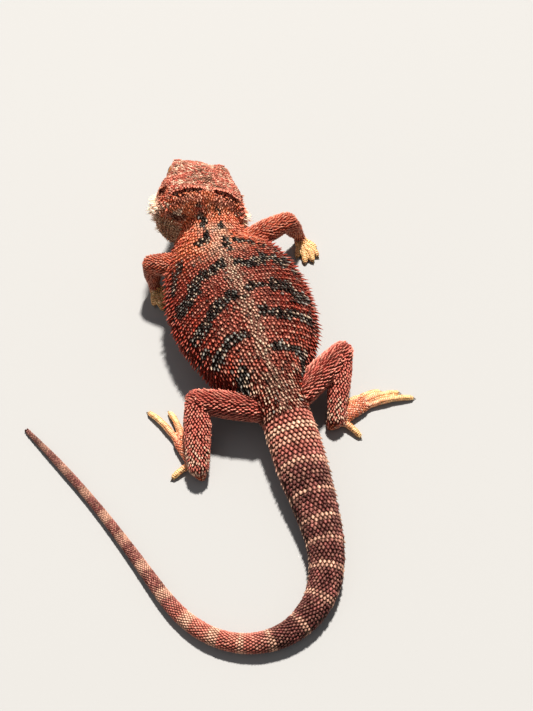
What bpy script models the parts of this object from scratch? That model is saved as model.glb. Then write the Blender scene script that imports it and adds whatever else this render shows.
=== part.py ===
"""A life-size, still model of a young bearded dragon on a flat floor, head raised, tail curled forward.

Lengths in this file are millimetres, and the finished meshes are scaled to metres at the end. The animal
faces -Y, its left is +X, and +Z is up. The pelvis is the starting point of the whole pose, so that every
joint is given as a distance from it.
"""

import math
import random

import bmesh
import bpy
import numpy as np
from mathutils import Matrix, Vector

# Driving dimensions
METRES = 0.001
GAP = 0.3
PELVIS = Vector((-10.11, 9.57, 0.0))

# The trunk from the nape to the vent: x, y and z of its centre, half width, height above and depth below it.
TRUNK = [
    (-2.6, -47.6, 13.6, 5.6, 5.0, 6.6),
    (-2.1, -44.8, 12.6, 5.9, 4.9, 6.9),
    (-1.4, -42.2, 11.6, 6.8, 5.0, 7.0),
    (-0.7, -39.6, 10.4, 8.6, 5.5, 6.8),
    (-0.5, -36.6, 9.3, 11.2, 6.0, 6.4),
    (-0.6, -33.0, 8.2, 13.0, 6.4, 6.9),
    (-0.8, -28.0, 7.2, 14.2, 6.9, 7.2),
    (-0.8, -22.0, 6.6, 14.3, 7.2, 6.9),
    (-0.5, -16.0, 6.2, 13.2, 7.2, 6.5),
    (-0.1, -11.0, 6.0, 11.1, 6.8, 6.3),
    (0.0, -6.5, 5.9, 8.0, 6.0, 5.8),
    (0.0, -3.0, 5.7, 6.0, 5.1, 5.0),
    (0.0, 0.0, 5.4, 5.0, 4.7, 4.6),
    (0.0, 2.4, 5.0, 4.7, 4.4, 4.4),
]
TRUNK_SIDES = 24
TRUNK_POWER = 2.3
TORSO_RING = 2.4
NECK_JOIN = -41.0
NECK_FRONT = -47.0

# The tail: half width against the distance from the vent. It is a little lower than wide.
TAIL = [
    (0.0, 4.7),
    (6.0, 4.85),
    (12.0, 4.7),
    (18.0, 4.2),
    (25.0, 3.6),
    (32.0, 3.15),
    (39.0, 2.7),
    (46.0, 2.2),
    (54.0, 1.85),
    (63.0, 1.65),
    (73.0, 1.4),
    (84.0, 1.15),
    (96.0, 0.95),
    (110.0, 0.75),
    (118.0, 0.45),
]
TAIL_LENGTH = 118.0
TAIL_HEIGHT_SHARE = 0.92
TAIL_REST_SHARE = 0.92
TAIL_SIDES = 16
TAIL_FIRST_HEADING = 6.0
TAIL_LAST_HEADING = 167.0
TAIL_TIP_BEND = -8.0
TAIL_TURN_FROM = 18.0
TAIL_TURN_TO = 76.0
TAIL_PROBE = 0.4
TAIL_CUTS = [0.0, 20.0, 43.0, 66.0, 90.0, TAIL_LENGTH]

# The head's own frame: origin at the top of the occipital rim, then forward, left and up.
HEAD_AT = Vector((-2.7, -47.3, 20.0))
HEAD_YAW = 12.0
HEAD_PITCH = 18.0
HEAD_ROLL = 17.0
# Forward place, top height and half width, cheek height and half width, jaw height and half width, and
# throat height.
HEAD = [
    (-3.5, -4.6, 3.6, -6.0, 5.4, -8.4, 5.2, -12.0),
    (-2.6, -1.9, 5.2, -5.7, 7.2, -8.3, 7.2, -13.3),
    (-1.6, -0.3, 6.2, -5.4, 8.3, -8.2, 8.6, -14.2),
    (0.0, 0.0, 6.6, -5.2, 9.0, -8.1, 9.5, -14.6),
    (2.0, 0.1, 6.7, -5.0, 9.2, -8.0, 9.5, -14.3),
    (4.5, 0.0, 6.5, -4.9, 8.9, -7.8, 8.8, -12.8),
    (7.5, -0.1, 5.8, -4.8, 7.8, -7.5, 7.4, -10.6),
    (10.0, -0.7, 4.8, -4.8, 6.5, -7.2, 5.9, -9.3),
    (12.5, -1.6, 3.5, -5.0, 5.1, -7.0, 4.6, -8.5),
    (15.0, -2.6, 2.7, -5.2, 4.0, -6.9, 3.6, -8.1),
    (16.9, -3.7, 1.9, -5.4, 2.8, -6.8, 2.6, -7.7),
    (17.7, -4.7, 1.0, -5.7, 1.4, -6.6, 1.3, -7.2),
]
SKULL_SIDES = 26
JAW_SIDES = 22
MOUTH_SIDES = 7
THROAT_FULLNESS = 0.72
HEAD_FINE = 120
HEAD_STOPS = 16
NOSE_CROWDING = 0.12
MOUTH = [(-3.5, -6.1), (3.5, -6.1), (7.0, -6.6), (12.0, -6.5), (17.7, -6.1)]
LIP = 0.22
LIP_HEIGHT = 0.8
EYE_AT = (9.2, 4.6, -2.8)
EYE_RADIUS = 2.1
EYE_TURN = (0.25, 1.0, 0.22)
BROW_AT = (8.8, 4.3, -1.8)
BROW_SIZE = (3.8, 2.5, 1.65)
LID_REACH = 1.2
LID_RADII = (2.3, 1.8)
LID_THICKNESS = 0.45
LID_STEPS = 16
EAR_AT = (2.2, 8.9, -3.8)
EAR_SIZE = (1.3, 1.1, 1.5)
EAR_RIM_SIZE = (1.9, 0.8, 2.0)
EAR_RIM_SUNK = 1.0
NOSTRIL_AT = (15.4, 3.0, -4.2)
NOSTRIL_SIZE = (0.42, 0.9, 0.42)

# Limbs: joints from the pelvis, then the radius at the root, the thickest place and the end of each segment.
ARM_LEFT = [(7.0, -37.8, 9.6), (12.3, -41.2, 8.5), (12.5, -41.0, 2.2)]
ARM_RIGHT = [(-8.6, -38.9, 9.7), (-17.8, -41.2, 8.7), (-20.9, -41.6, 2.2)]
LEG_LEFT = [(4.6, -1.6, 6.3), (15.0, -7.7, 6.4), (19.2, 4.1, 2.6)]
LEG_RIGHT = [(-4.8, -1.8, 6.3), (-15.7, -7.2, 7.0), (-9.6, 4.0, 2.3)]
ARM_RADII = [(2.5, 2.6, 2.2), (2.2, 2.1, 1.4)]
LEG_LEFT_RADII = [(2.8, 2.8, 2.4), (2.4, 2.7, 2.2)]
LEG_RIGHT_RADII = [(2.9, 2.9, 2.4), (2.3, 2.4, 1.7)]
LIMB_SIDES = 12

# Digits from the innermost: angle outwards from the foot's heading, length, then where the root lies from
# the ankle, forward and outward.
HAND_LEFT_DIGITS = [
    (-40.0, 2.0, 1.6, -1.1),
    (-20.0, 2.9, 2.6, -0.8),
    (0.0, 3.3, 2.8, 0.0),
    (20.0, 3.1, 2.6, 0.8),
    (42.0, 2.2, 1.7, 1.1),
]
HAND_RIGHT_DIGITS = [
    (-30.0, 2.0, 1.6, -1.1),
    (-15.0, 2.9, 2.6, -0.8),
    (0.0, 3.4, 2.8, 0.0),
    (14.0, 3.2, 2.6, 0.8),
    (32.0, 2.2, 1.7, 1.1),
]
FOOT_LEFT_DIGITS = [
    (-30.0, 3.0, 4.6, -1.7),
    (-22.0, 4.8, 7.2, -1.2),
    (-9.0, 6.4, 8.4, -0.2),
    (9.0, 8.4, 8.5, 1.0),
    (95.0, 4.0, 2.0, 0.9),
]
FOOT_RIGHT_DIGITS = [
    (-3.0, 3.0, 4.6, -1.9),
    (7.0, 4.9, 7.0, -1.3),
    (15.0, 7.0, 8.0, -0.1),
    (21.0, 9.0, 8.0, 1.1),
    (76.0, 4.2, 1.4, 0.9),
]
# The palm's or the middle foot's half width at the digits and its radius at the ankle.
HAND_SOLE = (1.7, 1.3)
FOOT_SOLE = (1.9, 1.5)
# Each limb: the kind of its three pieces, its side (left is 1), its joints, radii, heading, digits and sole.
LIMBS = [
    (("upper_arm", "forearm", "hand"), 1, ARM_LEFT, ARM_RADII, 194.0, HAND_LEFT_DIGITS, HAND_SOLE),
    (("upper_arm", "forearm", "hand"), -1, ARM_RIGHT, ARM_RADII, 170.0, HAND_RIGHT_DIGITS, HAND_SOLE),
    (("thigh", "shin", "foot"), 1, LEG_LEFT, LEG_LEFT_RADII, 4.0, FOOT_LEFT_DIGITS, FOOT_SOLE),
    (("thigh", "shin", "foot"), -1, LEG_RIGHT, LEG_RIGHT_RADII, 72.0, FOOT_RIGHT_DIGITS, FOOT_SOLE),
]
DIGIT_RADII = (0.8, 0.74, 0.6)
DIGIT_LEAN = 7.0
DIGIT_SUNK = 0.8
DIGIT_SIDES = 6
DIGIT_RING = 1.6
CLAW_LENGTH = 1.2
CLAW_RADIUS = 0.36

# Spines: how deep each root is sunk, how flat its section is, how much its length varies, its sides, and
# how far the roots keep from the end of a piece.
SPINE_SUNK = 0.9
SPINE_FLATNESS = 0.75
SPINE_VARIES = 0.18
SPINE_SIDES = 4
SPINE_CLEAR = 1.4
SPINE_SEED = 7
FLANK_COUNT = 22
FLANK_SPAN = (-38.5, -5.5)
FLANK_ANGLE = 4.0
FLANK_STAGGER = 3.0
FLANK_LENGTH = 1.7
FLANK_WIDTH = 1.0
FLANK_LEAN = 0.45
BACK_ROWS = (62.0, 78.0, 102.0, 118.0)
BACK_COUNT = 11
BACK_SPAN = (-38.0, -2.0)
BACK_LENGTH = 0.75
BACK_WIDTH = 1.15
BACK_LEAN = 0.7
BEARD_LENGTHS = (3.0, 0.7)
BEARD_WIDTH = 1.2
BEARD_LEANS = (0.65, 0.6)
# Rows of the beard: place round the head's section, count, span along the head, size and drop of the spines.
JAW_ROWS = [(0.352, 12, (-1.2, 12.0), 1.0, 0.1), (0.41, 8, (-1.2, 7.0), 0.75, 0.5)]
CHEEK_ROWS = [(0.27, 4, (-2.0, 1.6), 0.6, -0.2)]
OCCIPITAL_COUNT = 6
OCCIPITAL_LENGTH = 1.6
OCCIPITAL_WIDTH = 1.7
OCCIPITAL_REACH = 7.0
OCCIPITAL_NOTCH = 0.7
NECK_COUNT = 3
NECK_SPAN = (-39.9, -38.4)
NECK_ANGLES = (62.0, 30.0)
NECK_LENGTH = 1.3
NECK_WIDTH = 1.0
NECK_LEAN = 0.8
TAIL_FRINGE_COUNT = 7
TAIL_FRINGE_SPAN = (1.5, 18.5)
TAIL_FRINGE_ANGLE = 12.0
TAIL_FRINGE_LENGTH = 0.8
TAIL_FRINGE_WIDTH = 0.9
TAIL_FRINGE_LEAN = 0.9
# How far to look along and round a surface to find which way it faces.
PROBE_ALONG = 0.3
PROBE_ROUND = 2.0

COLOURS = {
    "skin_red": ((0.42, 0.12, 0.09, 1.0), 0.6),
    "skin_tail": ((0.45, 0.25, 0.22, 1.0), 0.6),
    "skin_pale": ((0.80, 0.60, 0.32, 1.0), 0.55),
    "beard_white": ((0.72, 0.62, 0.54, 1.0), 0.6),
    "eye": ((0.06, 0.03, 0.02, 1.0), 0.15),
}


def clear_scene():
    for obj in list(bpy.data.objects):
        bpy.data.objects.remove(obj)


def make_material(name):
    colour, roughness = COLOURS[name]
    material = bpy.data.materials.new(name)
    material.use_nodes = True
    shader = material.node_tree.nodes["Principled BSDF"]
    shader.inputs["Base Color"].default_value = colour
    shader.inputs["Roughness"].default_value = roughness
    shader.inputs["Metallic"].default_value = 0.0
    return material


def through(table, at):
    """The table's other columns at a value of its first one, on a smooth curve through its rows."""
    rows = np.array(table, float)
    keys, values = rows[:, 0], rows[:, 1:]
    slopes = np.gradient(values, keys, axis=0)
    i = int(np.clip(np.searchsorted(keys, at) - 1, 0, len(keys) - 2))
    span = keys[i + 1] - keys[i]
    t = min(max((at - keys[i]) / span, 0.0), 1.0)
    near = (1 + 2 * t) * (1 - t) ** 2 * values[i] + t * (1 - t) ** 2 * span * slopes[i]
    far = t * t * (3 - 2 * t) * values[i + 1] + t * t * (t - 1) * span * slopes[i + 1]
    return near + far


def smoothstep(t):
    t = min(max(t, 0.0), 1.0)
    return t * t * (3 - 2 * t)


def between(ends, share):
    return ends[0] + (ends[1] - ends[0]) * share


def object_from(name, bm):
    bm.normal_update()
    bmesh.ops.recalc_face_normals(bm, faces=bm.faces)
    if bm.calc_volume(signed=True) < 0:
        bmesh.ops.reverse_faces(bm, faces=bm.faces)
    mesh = bpy.data.meshes.new(name)
    bm.to_mesh(mesh)
    bm.free()
    obj = bpy.data.objects.new(name, mesh)
    bpy.context.scene.collection.objects.link(obj)
    return obj


def loft(name, rings, on_floor=False):
    """A closed skin over rings of points with the same count, each end closed by a fan about its middle."""
    bm = bmesh.new()
    rows = []
    for ring in rings:
        points = [Vector((p[0], p[1], max(p[2], 0.0) if on_floor else p[2])) for p in ring]
        rows.append([bm.verts.new(p) for p in points])
    for near, far in zip(rows, rows[1:]):
        for j in range(len(near)):
            k = (j + 1) % len(near)
            bm.faces.new((near[j], near[k], far[k], far[j]))
    for row in (rows[0], rows[-1]):
        middle = bm.verts.new(sum((v.co for v in row), Vector()) / len(row))
        for j in range(len(row)):
            bm.faces.new((row[j], row[(j + 1) % len(row)], middle))
    return object_from(name, bm)


def ring(centre, tangent, hint, size, sides, power=2.0):
    """Points round a centre, square to the tangent: half width, height on the hint's side, depth below."""
    half_width, above, below = size
    side = hint.cross(tangent).normalized()
    up = tangent.cross(side).normalized()
    points = []
    for j in range(sides):
        angle = 2 * math.pi * j / sides
        across, rise = math.cos(angle), math.sin(angle)
        across = math.copysign(abs(across) ** (2 / power), across)
        rise = math.copysign(abs(rise) ** (2 / power), rise)
        points.append(centre + side * half_width * across + up * (above if rise > 0 else below) * rise)
    return points


def tangents(path):
    ends = [path[0], *path, path[-1]]
    return [(ends[i + 2] - ends[i]).normalized() for i in range(len(path))]


def at_pelvis(x, y, z):
    return PELVIS + Vector((x, y, z))


def trunk_row(y):
    x, z, width, above, below = through([(r[1], r[0], *r[2:]) for r in TRUNK], y)
    return at_pelvis(x, y, z), (width, above, below)


def trunk_rings(y_from, y_to, grow=0.0):
    count = max(2, round(abs(y_to - y_from) / TORSO_RING))
    rows = [trunk_row(between((y_from, y_to), i / count)) for i in range(count + 1)]
    path = [row[0] for row in rows]
    size = [tuple(v + grow for v in row[1]) for row in rows]
    up = Vector((0, 0, 1))
    return [ring(c, t, up, s, TRUNK_SIDES, TRUNK_POWER) for c, t, s in zip(path, tangents(path), size)]


def tail_heading(s):
    share = smoothstep((s - TAIL_TURN_FROM) / (TAIL_TURN_TO - TAIL_TURN_FROM))
    tip = smoothstep((s - TAIL_TURN_TO) / (TAIL_LENGTH - TAIL_TURN_TO))
    turned = (TAIL_LAST_HEADING - TAIL_FIRST_HEADING) * share
    return math.radians(TAIL_FIRST_HEADING + turned + TAIL_TIP_BEND * tip)


def tail_radius(s):
    return float(through(TAIL, s)[0])


def tail_point(s, step=0.5):
    """The tail's centre at a distance from the vent, walked along its heading down to the floor."""
    last = TRUNK[-1]
    place = at_pelvis(last[0], last[1], 0.0)
    walked = 0.0
    while walked < s:
        part = min(step, s - walked)
        angle = tail_heading(walked + part / 2)
        place = place + Vector((math.sin(angle), math.cos(angle), 0)) * part
        walked += part
    rest = tail_radius(s) * TAIL_HEIGHT_SHARE * TAIL_REST_SHARE
    settle = smoothstep(s / 12.0)
    place.z = last[2] * (1 - settle) + rest * settle
    return place


def tail_rings(s_from, s_to, grow=0.0):
    spacing = max(1.6, 0.62 * tail_radius((s_from + s_to) / 2) + 0.7)
    count = max(3, round((s_to - s_from) / spacing))
    stops = [between((s_from, s_to), i / count) for i in range(count + 1)]
    rings = []
    for s in stops:
        centre = tail_point(s)
        tangent = (tail_point(s + TAIL_PROBE) - tail_point(max(s - TAIL_PROBE, 0.0))).normalized()
        width = tail_radius(s) + grow
        root = smoothstep(s / 12.0)
        power = TRUNK_POWER * (1 - root) + 2.0 * root
        height = width * TAIL_HEIGHT_SHARE
        rings.append(ring(centre, tangent, Vector((0, 0, 1)), (width, height, height), TAIL_SIDES, power))
    return rings


def head_axes():
    """Unit vectors forward, left and up of the head, turned from facing -Y."""
    yaw, pitch, roll = (math.radians(a) for a in (HEAD_YAW, HEAD_PITCH, HEAD_ROLL))
    forward = Vector((-math.sin(yaw) * math.cos(pitch), -math.cos(yaw) * math.cos(pitch), -math.sin(pitch)))
    level_left = Vector((math.cos(yaw), -math.sin(yaw), 0))
    level_up = forward.cross(level_left)
    left = level_left * math.cos(roll) + level_up * math.sin(roll)
    up = level_up * math.cos(roll) - level_left * math.sin(roll)
    return forward, left, up


def in_head(forward, left, up):
    f, l, u = head_axes()
    return PELVIS + HEAD_AT + f * forward + l * left + u * up


def closed_curve(corners, count):
    """Points on a smooth closed curve through the corners."""
    n = len(corners)
    points = []
    for k in range(count):
        place = k * n / count
        i, t = int(place), place - int(place)
        a, b, c, d = (np.array(corners[(i + j) % n], float) for j in (-1, 0, 1, 2))
        square = (2 * a - 5 * b + 4 * c - d) * t**2
        cube = (3 * b - a - 3 * c + d) * t**3
        points.append(0.5 * (2 * b + (c - a) * t + square + cube))
    return points


def head_outline(forward, count):
    """The head's section, as (left, up) pairs from the crown round the left cheek, the throat and back."""
    top, top_w, cheek, cheek_w, jaw, jaw_w, throat = through(HEAD, forward)
    half = [
        (0.5 * top_w, top),
        (0.95 * top_w, top - 0.12 * (top - cheek)),
        (0.45 * top_w + 0.58 * cheek_w, 0.45 * top + 0.55 * cheek),
        (cheek_w, cheek),
        (jaw_w, jaw),
        (THROAT_FULLNESS * jaw_w, 0.75 * throat + 0.25 * jaw),
    ]
    corners = [(0.0, top), *half, (0.0, throat), *[(-w, h) for w, h in reversed(half)]]
    return closed_curve(corners, count)


def clipped(outline, level, above, arc_count, flat_count):
    """The part of an outline above or below a level: even points on its arc, then on the level line."""
    kept = []
    n = len(outline)
    side = 1 if above else -1
    depth = [(h - level) * side for w, h in outline]
    start = next(i for i in range(n) if depth[i] <= 0 < depth[(i + 1) % n])
    for k in range(n + 1):
        (w0, h0), (w1, h1) = outline[(start + k) % n], outline[(start + k + 1) % n]
        inside_0, inside_1 = (h0 - level) * side > 0, (h1 - level) * side > 0
        if inside_0:
            kept.append((w0, h0))
        if inside_0 != inside_1:
            t = (level - h0) / (h1 - h0)
            kept.append((w0 + (w1 - w0) * t, level))
            if inside_0:
                break
    corners = np.array(kept)
    along = np.concatenate([[0.0], np.cumsum(np.linalg.norm(np.diff(corners, axis=0), axis=1))])
    stops = np.linspace(0, along[-1], arc_count)
    arc = [tuple(float(np.interp(s, along, corners[:, axis])) for axis in (0, 1)) for s in stops]
    (w_end, _), (w_start, _) = arc[-1], arc[0]
    arc = [(w + math.copysign(LIP * max(0.0, 1 - abs(h - level) / LIP_HEIGHT), w), h) for w, h in arc]
    flat = [(w_end + (w_start - w_end) * k / flat_count, level) for k in range(1, flat_count)]
    return arc + flat


def head_rings(skull):
    """Rings of the skull, or of the lower jaw, each closed along the line of the mouth."""
    rings = []
    for i in range(HEAD_STOPS + 1):
        share = i / HEAD_STOPS
        share += NOSE_CROWDING * math.sin(math.pi * share) * share
        forward = between((HEAD[0][0], HEAD[-1][0]), share)
        mouth = float(through(MOUTH, forward)[0]) + (GAP / 2 if skull else -GAP / 2)
        arc = SKULL_SIDES if skull else JAW_SIDES
        section = clipped(head_outline(forward, HEAD_FINE), mouth, skull, arc, MOUTH_SIDES)
        rings.append([in_head(forward, w, h) for w, h in section])
    return rings


def sphere(name, centre, radii, axes=None, segments=16, rows=10):
    bm = bmesh.new()
    bmesh.ops.create_uvsphere(bm, u_segments=segments, v_segments=rows, radius=1.0)
    turn = Matrix.Identity(3)
    if axes:
        turn = Matrix(axes).transposed()
    for vert in bm.verts:
        vert.co = centre + turn @ Vector(c * r for c, r in zip(vert.co, radii))
    return object_from(name, bm)


def capsule(name, start, end, radii, hint, sides=LIMB_SIDES, grow=0.0):
    """A straight limb segment with round ends: radius at its start, middle and end."""
    first, middle, last = (r + grow for r in radii)
    axis = (end - start).normalized()
    length = (end - start).length
    stations = []
    for angle in (82, 55, 28):
        a = math.radians(angle)
        stations.append((-first * math.sin(a), first * math.cos(a)))
    for share in (0.0, 0.2, 0.4, 0.6, 0.8, 1.0):
        radius = float(through([(0.0, first), (0.4, middle), (1.0, last)], share)[0])
        stations.append((share * length, radius))
    for angle in (28, 55, 82):
        a = math.radians(angle)
        stations.append((length + last * math.sin(a), last * math.cos(a)))
    rings = [ring(start + axis * s, axis, hint, (r, r, r), sides) for s, r in stations]
    return loft(name, rings)


def keep_side(obj, point, normal):
    """Cuts a closed mesh by a plane, keeps the side that the normal points away from and closes the cut."""
    bm = bmesh.new()
    bm.from_mesh(obj.data)
    everything = bm.verts[:] + bm.edges[:] + bm.faces[:]
    found = bmesh.ops.bisect_plane(
        bm, geom=everything, dist=1e-5, plane_co=point, plane_no=normal, clear_outer=True
    )
    edges = [e for e in found["geom_cut"] if isinstance(e, bmesh.types.BMEdge)]
    if edges:
        bmesh.ops.triangle_fill(bm, edges=edges, use_beauty=True, use_dissolve=False)
    bmesh.ops.remove_doubles(bm, verts=bm.verts, dist=1e-4)
    bmesh.ops.recalc_face_normals(bm, faces=bm.faces)
    bm.to_mesh(obj.data)
    bm.free()
    return obj


def combine(obj, others, operation, solver="EXACT"):
    """Joins the other closed meshes to the object, or cuts them from it, in one Boolean."""
    group = bpy.data.collections.new("operands")
    bpy.context.scene.collection.children.link(group)
    for other in others:
        group.objects.link(other)
        bpy.context.scene.collection.objects.unlink(other)
    modifier = obj.modifiers.new("join", "BOOLEAN")
    modifier.operation = operation
    modifier.operand_type = "COLLECTION"
    modifier.collection = group
    modifier.solver = solver
    graph = bpy.context.evaluated_depsgraph_get()
    mesh = bpy.data.meshes.new_from_object(obj.evaluated_get(graph))
    obj.modifiers.clear()
    obj.data = mesh
    for other in others:
        bpy.data.objects.remove(other)
    bpy.data.collections.remove(group)
    return keep_largest(obj)


def keep_largest(obj):
    """Drops every closed surface of the mesh but the largest."""
    bm = bmesh.new()
    bm.from_mesh(obj.data)
    left = set(bm.verts)
    groups = []
    while left:
        stack = [left.pop()]
        group = set(stack)
        while stack:
            for edge in stack.pop().link_edges:
                for vert in edge.verts:
                    if vert not in group:
                        group.add(vert)
                        stack.append(vert)
        left -= group
        groups.append(group)
    groups.sort(key=len)
    for group in groups[:-1]:
        bmesh.ops.delete(bm, geom=list(group), context="VERTS")
    bm.to_mesh(obj.data)
    bm.free()
    return obj


def segment_pair(names, joints, radii):
    """Two limb segments that meet on the plane halving their joint."""
    root, bend, end = (at_pelvis(*p) for p in joints)
    hint = Vector((0, 1, 0))
    upper = capsule(names[0], root, bend, radii[0], hint)
    lower = capsule(names[1], bend, end, radii[1], hint)
    halves = ((bend - root).normalized() + (end - bend).normalized()).normalized()
    keep_side(upper, bend - halves * GAP / 2, halves)
    keep_side(lower, bend + halves * GAP / 2, -halves)
    return upper, lower


def limb_cutter(joints, radii):
    """A limb's first segment grown by the gap, to cut its place out of the body."""
    root, bend = (at_pelvis(*p) for p in joints[:2])
    return capsule("limb_cutter", root, bend, radii[0], Vector((0, 1, 0)), grow=GAP)


def digit(name, root, heading, length, lean):
    """One toe with its claw: a low arch along the floor that turns a little towards the lean."""
    radius_root, radius_mid, radius_tip = DIGIT_RADII
    count = max(3, round(length / DIGIT_RING))
    path, sizes = [], []
    for i in range(count + 1):
        share = i / count
        angle = math.radians(heading + lean * share * share)
        run = length * share
        radius = float(through([(0.0, radius_root), (0.5, radius_mid), (1.0, radius_tip)], share)[0])
        height = radius * 0.9 + 0.35 * math.sin(math.pi * share)
        path.append(Vector((root.x + math.sin(angle) * run, root.y - math.cos(angle) * run, height)))
        sizes.append(radius)
    up = Vector((0, 0, 1))
    rows = zip(path, tangents(path), sizes)
    rings = [ring(c, t, up, (r, r * 0.95, r * 0.95), DIGIT_SIDES) for c, t, r in rows]
    tip = path[-1]
    along = (path[-1] - path[-2]).normalized()
    nose = ring(tip + along * radius_tip * 0.7, along, up, (0.3, 0.3, 0.3), DIGIT_SIDES)
    toe = loft(name, [*rings, nose], on_floor=True)
    claw = claw_on(name + "_claw", tip, along)
    return toe, claw


def claw_on(name, tip, along):
    path, sizes = [], []
    for share in (0.0, 0.3, 0.6, 0.85, 1.0):
        drop = (tip.z - 0.12) * share**2
        path.append(tip + along * (share * CLAW_LENGTH + 0.15) + Vector((0, 0, 0.18 - 0.18 * share - drop)))
        sizes.append(CLAW_RADIUS * (1 - 0.85 * share))
    up = Vector((0, 0, 1))
    rings = [ring(c, t, up, (r * 0.8, r, r), 6) for c, t, r in zip(path, tangents(path), sizes)]
    return loft(name, rings, on_floor=True)


def sole(name, ankle, heading, reach, half_width, radius):
    """The palm or the middle foot, from a round heel at the ankle to the roots of the digits."""
    angle = math.radians(heading)
    along = Vector((math.sin(angle), -math.cos(angle), 0))
    up = Vector((0, 0, 1))
    rings = []
    for share, width, height in (
        (-0.22, 0.45, 0.5),
        (-0.12, 0.8, 0.85),
        (0.0, 1.0, 1.0),
        (0.3, 1.0, 0.9),
        (0.6, 1.0, 0.78),
        (0.85, 1.0, 0.68),
        (1.0, 0.85, 0.58),
        (1.08, 0.5, 0.4),
    ):
        spread = radius + (half_width - radius) * min(max(share, 0.0) / 0.8, 1.0)
        tall = radius * height
        centre = Vector((ankle.x, ankle.y, 0)) + along * reach * share + up * tall * 0.9
        rings.append(ring(centre, along, up, (spread * width, tall, tall), LIMB_SIDES))
    return loft(name, rings, on_floor=True)


def foot(name, ankle, shin_axis, heading, outward, digits, sole_size):
    """A foot with five clawed digits, cut clear of the shin. Outward is +1 on the left side."""
    reach = max(d[2] for d in digits)
    body = sole(name, ankle, heading * outward, reach, *sole_size)
    turn = math.radians(heading * outward)
    along = Vector((math.sin(turn), -math.cos(turn), 0))
    across = Vector((math.cos(turn), math.sin(turn), 0)) * outward
    pieces = []
    for k, (angle, length, forward, aside) in enumerate(digits):
        own = math.radians((heading + angle) * outward)
        sunk = Vector((math.sin(own), -math.cos(own), 0)) * DIGIT_SUNK
        root = Vector((ankle.x, ankle.y, 0)) + along * forward + across * aside - sunk
        turned = (heading + angle) * outward
        pieces += digit(f"{name}_{k}", root, turned, length + DIGIT_SUNK, DIGIT_LEAN * outward)
    combine(body, pieces, "UNION")
    halves = (shin_axis.normalized() + along).normalized()
    return keep_side(body, ankle + halves * GAP / 2, -halves), halves


def limb(kinds, outward, joints, radii, heading, digits, sole_size):
    """The three pieces of a limb from the body outwards."""
    names = [f"{kind}_{'left' if outward > 0 else 'right'}" for kind in kinds]
    upper, lower = segment_pair(names[:2], joints, radii)
    bend, end = (at_pelvis(*p) for p in joints[1:])
    paw, halves = foot(names[2], end, end - bend, heading, outward, digits, sole_size)
    keep_side(lower, end - halves * GAP / 2, halves)
    return upper, lower, paw


def brow(side):
    """The dome over the eye."""
    centre = in_head(BROW_AT[0], BROW_AT[1] * side, BROW_AT[2])
    return sphere("brow", centre, BROW_SIZE, head_axes(), segments=14, rows=8)


def lids(side):
    """A rounded almond ring round the eye, standing out of the cheek."""
    forward, left, up = head_axes()
    outward = (forward * EYE_TURN[0] + left * side * EYE_TURN[1] + up * EYE_TURN[2]).normalized()
    along = (forward - outward * forward.dot(outward)).normalized()
    tall = outward.cross(along)
    centre = in_head(EYE_AT[0], EYE_AT[1] * side, EYE_AT[2]) + outward * LID_REACH
    bm = bmesh.new()
    rows = []
    for i in range(LID_STEPS):
        a = 2 * math.pi * i / LID_STEPS
        spoke = along * math.cos(a) * LID_RADII[0] + tall * math.sin(a) * LID_RADII[1]
        row = []
        for b in (0, 60, 120, 180, 240, 300):
            b = math.radians(b)
            offset = spoke.normalized() * math.cos(b) + outward * math.sin(b)
            row.append(bm.verts.new(centre + spoke + offset * LID_THICKNESS))
        rows.append(row)
    for near, far in zip(rows, rows[1:] + rows[:1]):
        for j in range(len(near)):
            k = (j + 1) % len(near)
            bm.faces.new((near[j], near[k], far[k], far[j]))
    return object_from("lids", bm)


def spine(root, direction, length, width, flat_along):
    """A four-sided point with its root sunk in the body, widest along the direction flat_along."""
    direction = direction.normalized()
    wide = (flat_along - direction * flat_along.dot(direction)).normalized()
    thin = direction.cross(wide)
    base = root - direction * SPINE_SUNK
    bm = bmesh.new()
    ends = []
    for place, scale in ((base, 1.0), (root + direction * length * 0.45, 0.62)):
        ring_points = []
        for j in range(SPINE_SIDES):
            a = 2 * math.pi * j / SPINE_SIDES
            offset = wide * math.cos(a) + thin * math.sin(a) * SPINE_FLATNESS
            ring_points.append(bm.verts.new(place + offset * width / 2 * scale))
        ends.append(ring_points)
    tip = bm.verts.new(root + direction * length)
    near, far = ends
    for j in range(SPINE_SIDES):
        k = (j + 1) % SPINE_SIDES
        bm.faces.new((near[j], near[k], far[k], far[j]))
        bm.faces.new((far[j], far[k], tip))
    bm.faces.new(near)
    return object_from("spine", bm)


def spine_on(surface, a, b, lean, length, width):
    """A spine on a surface given by a length and an angle, leaning back along it from the outward normal."""
    point = surface(a, b)
    along = (surface(a + PROBE_ALONG, b) - surface(a - PROBE_ALONG, b)).normalized()
    across = surface(a, b + PROBE_ROUND) - surface(a, b - PROBE_ROUND)
    normal = along.cross(across).normalized()
    return spine(point, normal + along * lean, length, width, along)


def trunk_surface(y, angle):
    """The trunk's skin: the angle is 0 on the left flank, 90 on the back and 180 on the right flank."""
    centre, (width, above, below) = trunk_row(y)
    a = math.radians(angle)
    across = math.copysign(abs(math.cos(a)) ** (2 / TRUNK_POWER), math.cos(a))
    rise = math.copysign(abs(math.sin(a)) ** (2 / TRUNK_POWER), math.sin(a))
    return centre + Vector((width * across, 0, (above if rise > 0 else below) * rise))


def tail_surface(s, angle):
    a = math.radians(angle)
    heading = tail_heading(s)
    side = Vector((math.cos(heading), -math.sin(heading), 0))
    width = tail_radius(s)
    rise = width * TAIL_HEIGHT_SHARE * math.sin(a)
    return tail_point(s) + side * width * math.cos(a) + Vector((0, 0, rise))


def head_surface(forward, share):
    """The head's skin: the share runs from 0 at the crown by the left cheek to 1 at the crown again."""
    w, h = head_outline(forward, HEAD_FINE)[int(round(share * HEAD_FINE)) % HEAD_FINE]
    return in_head(forward, w, h)


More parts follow.
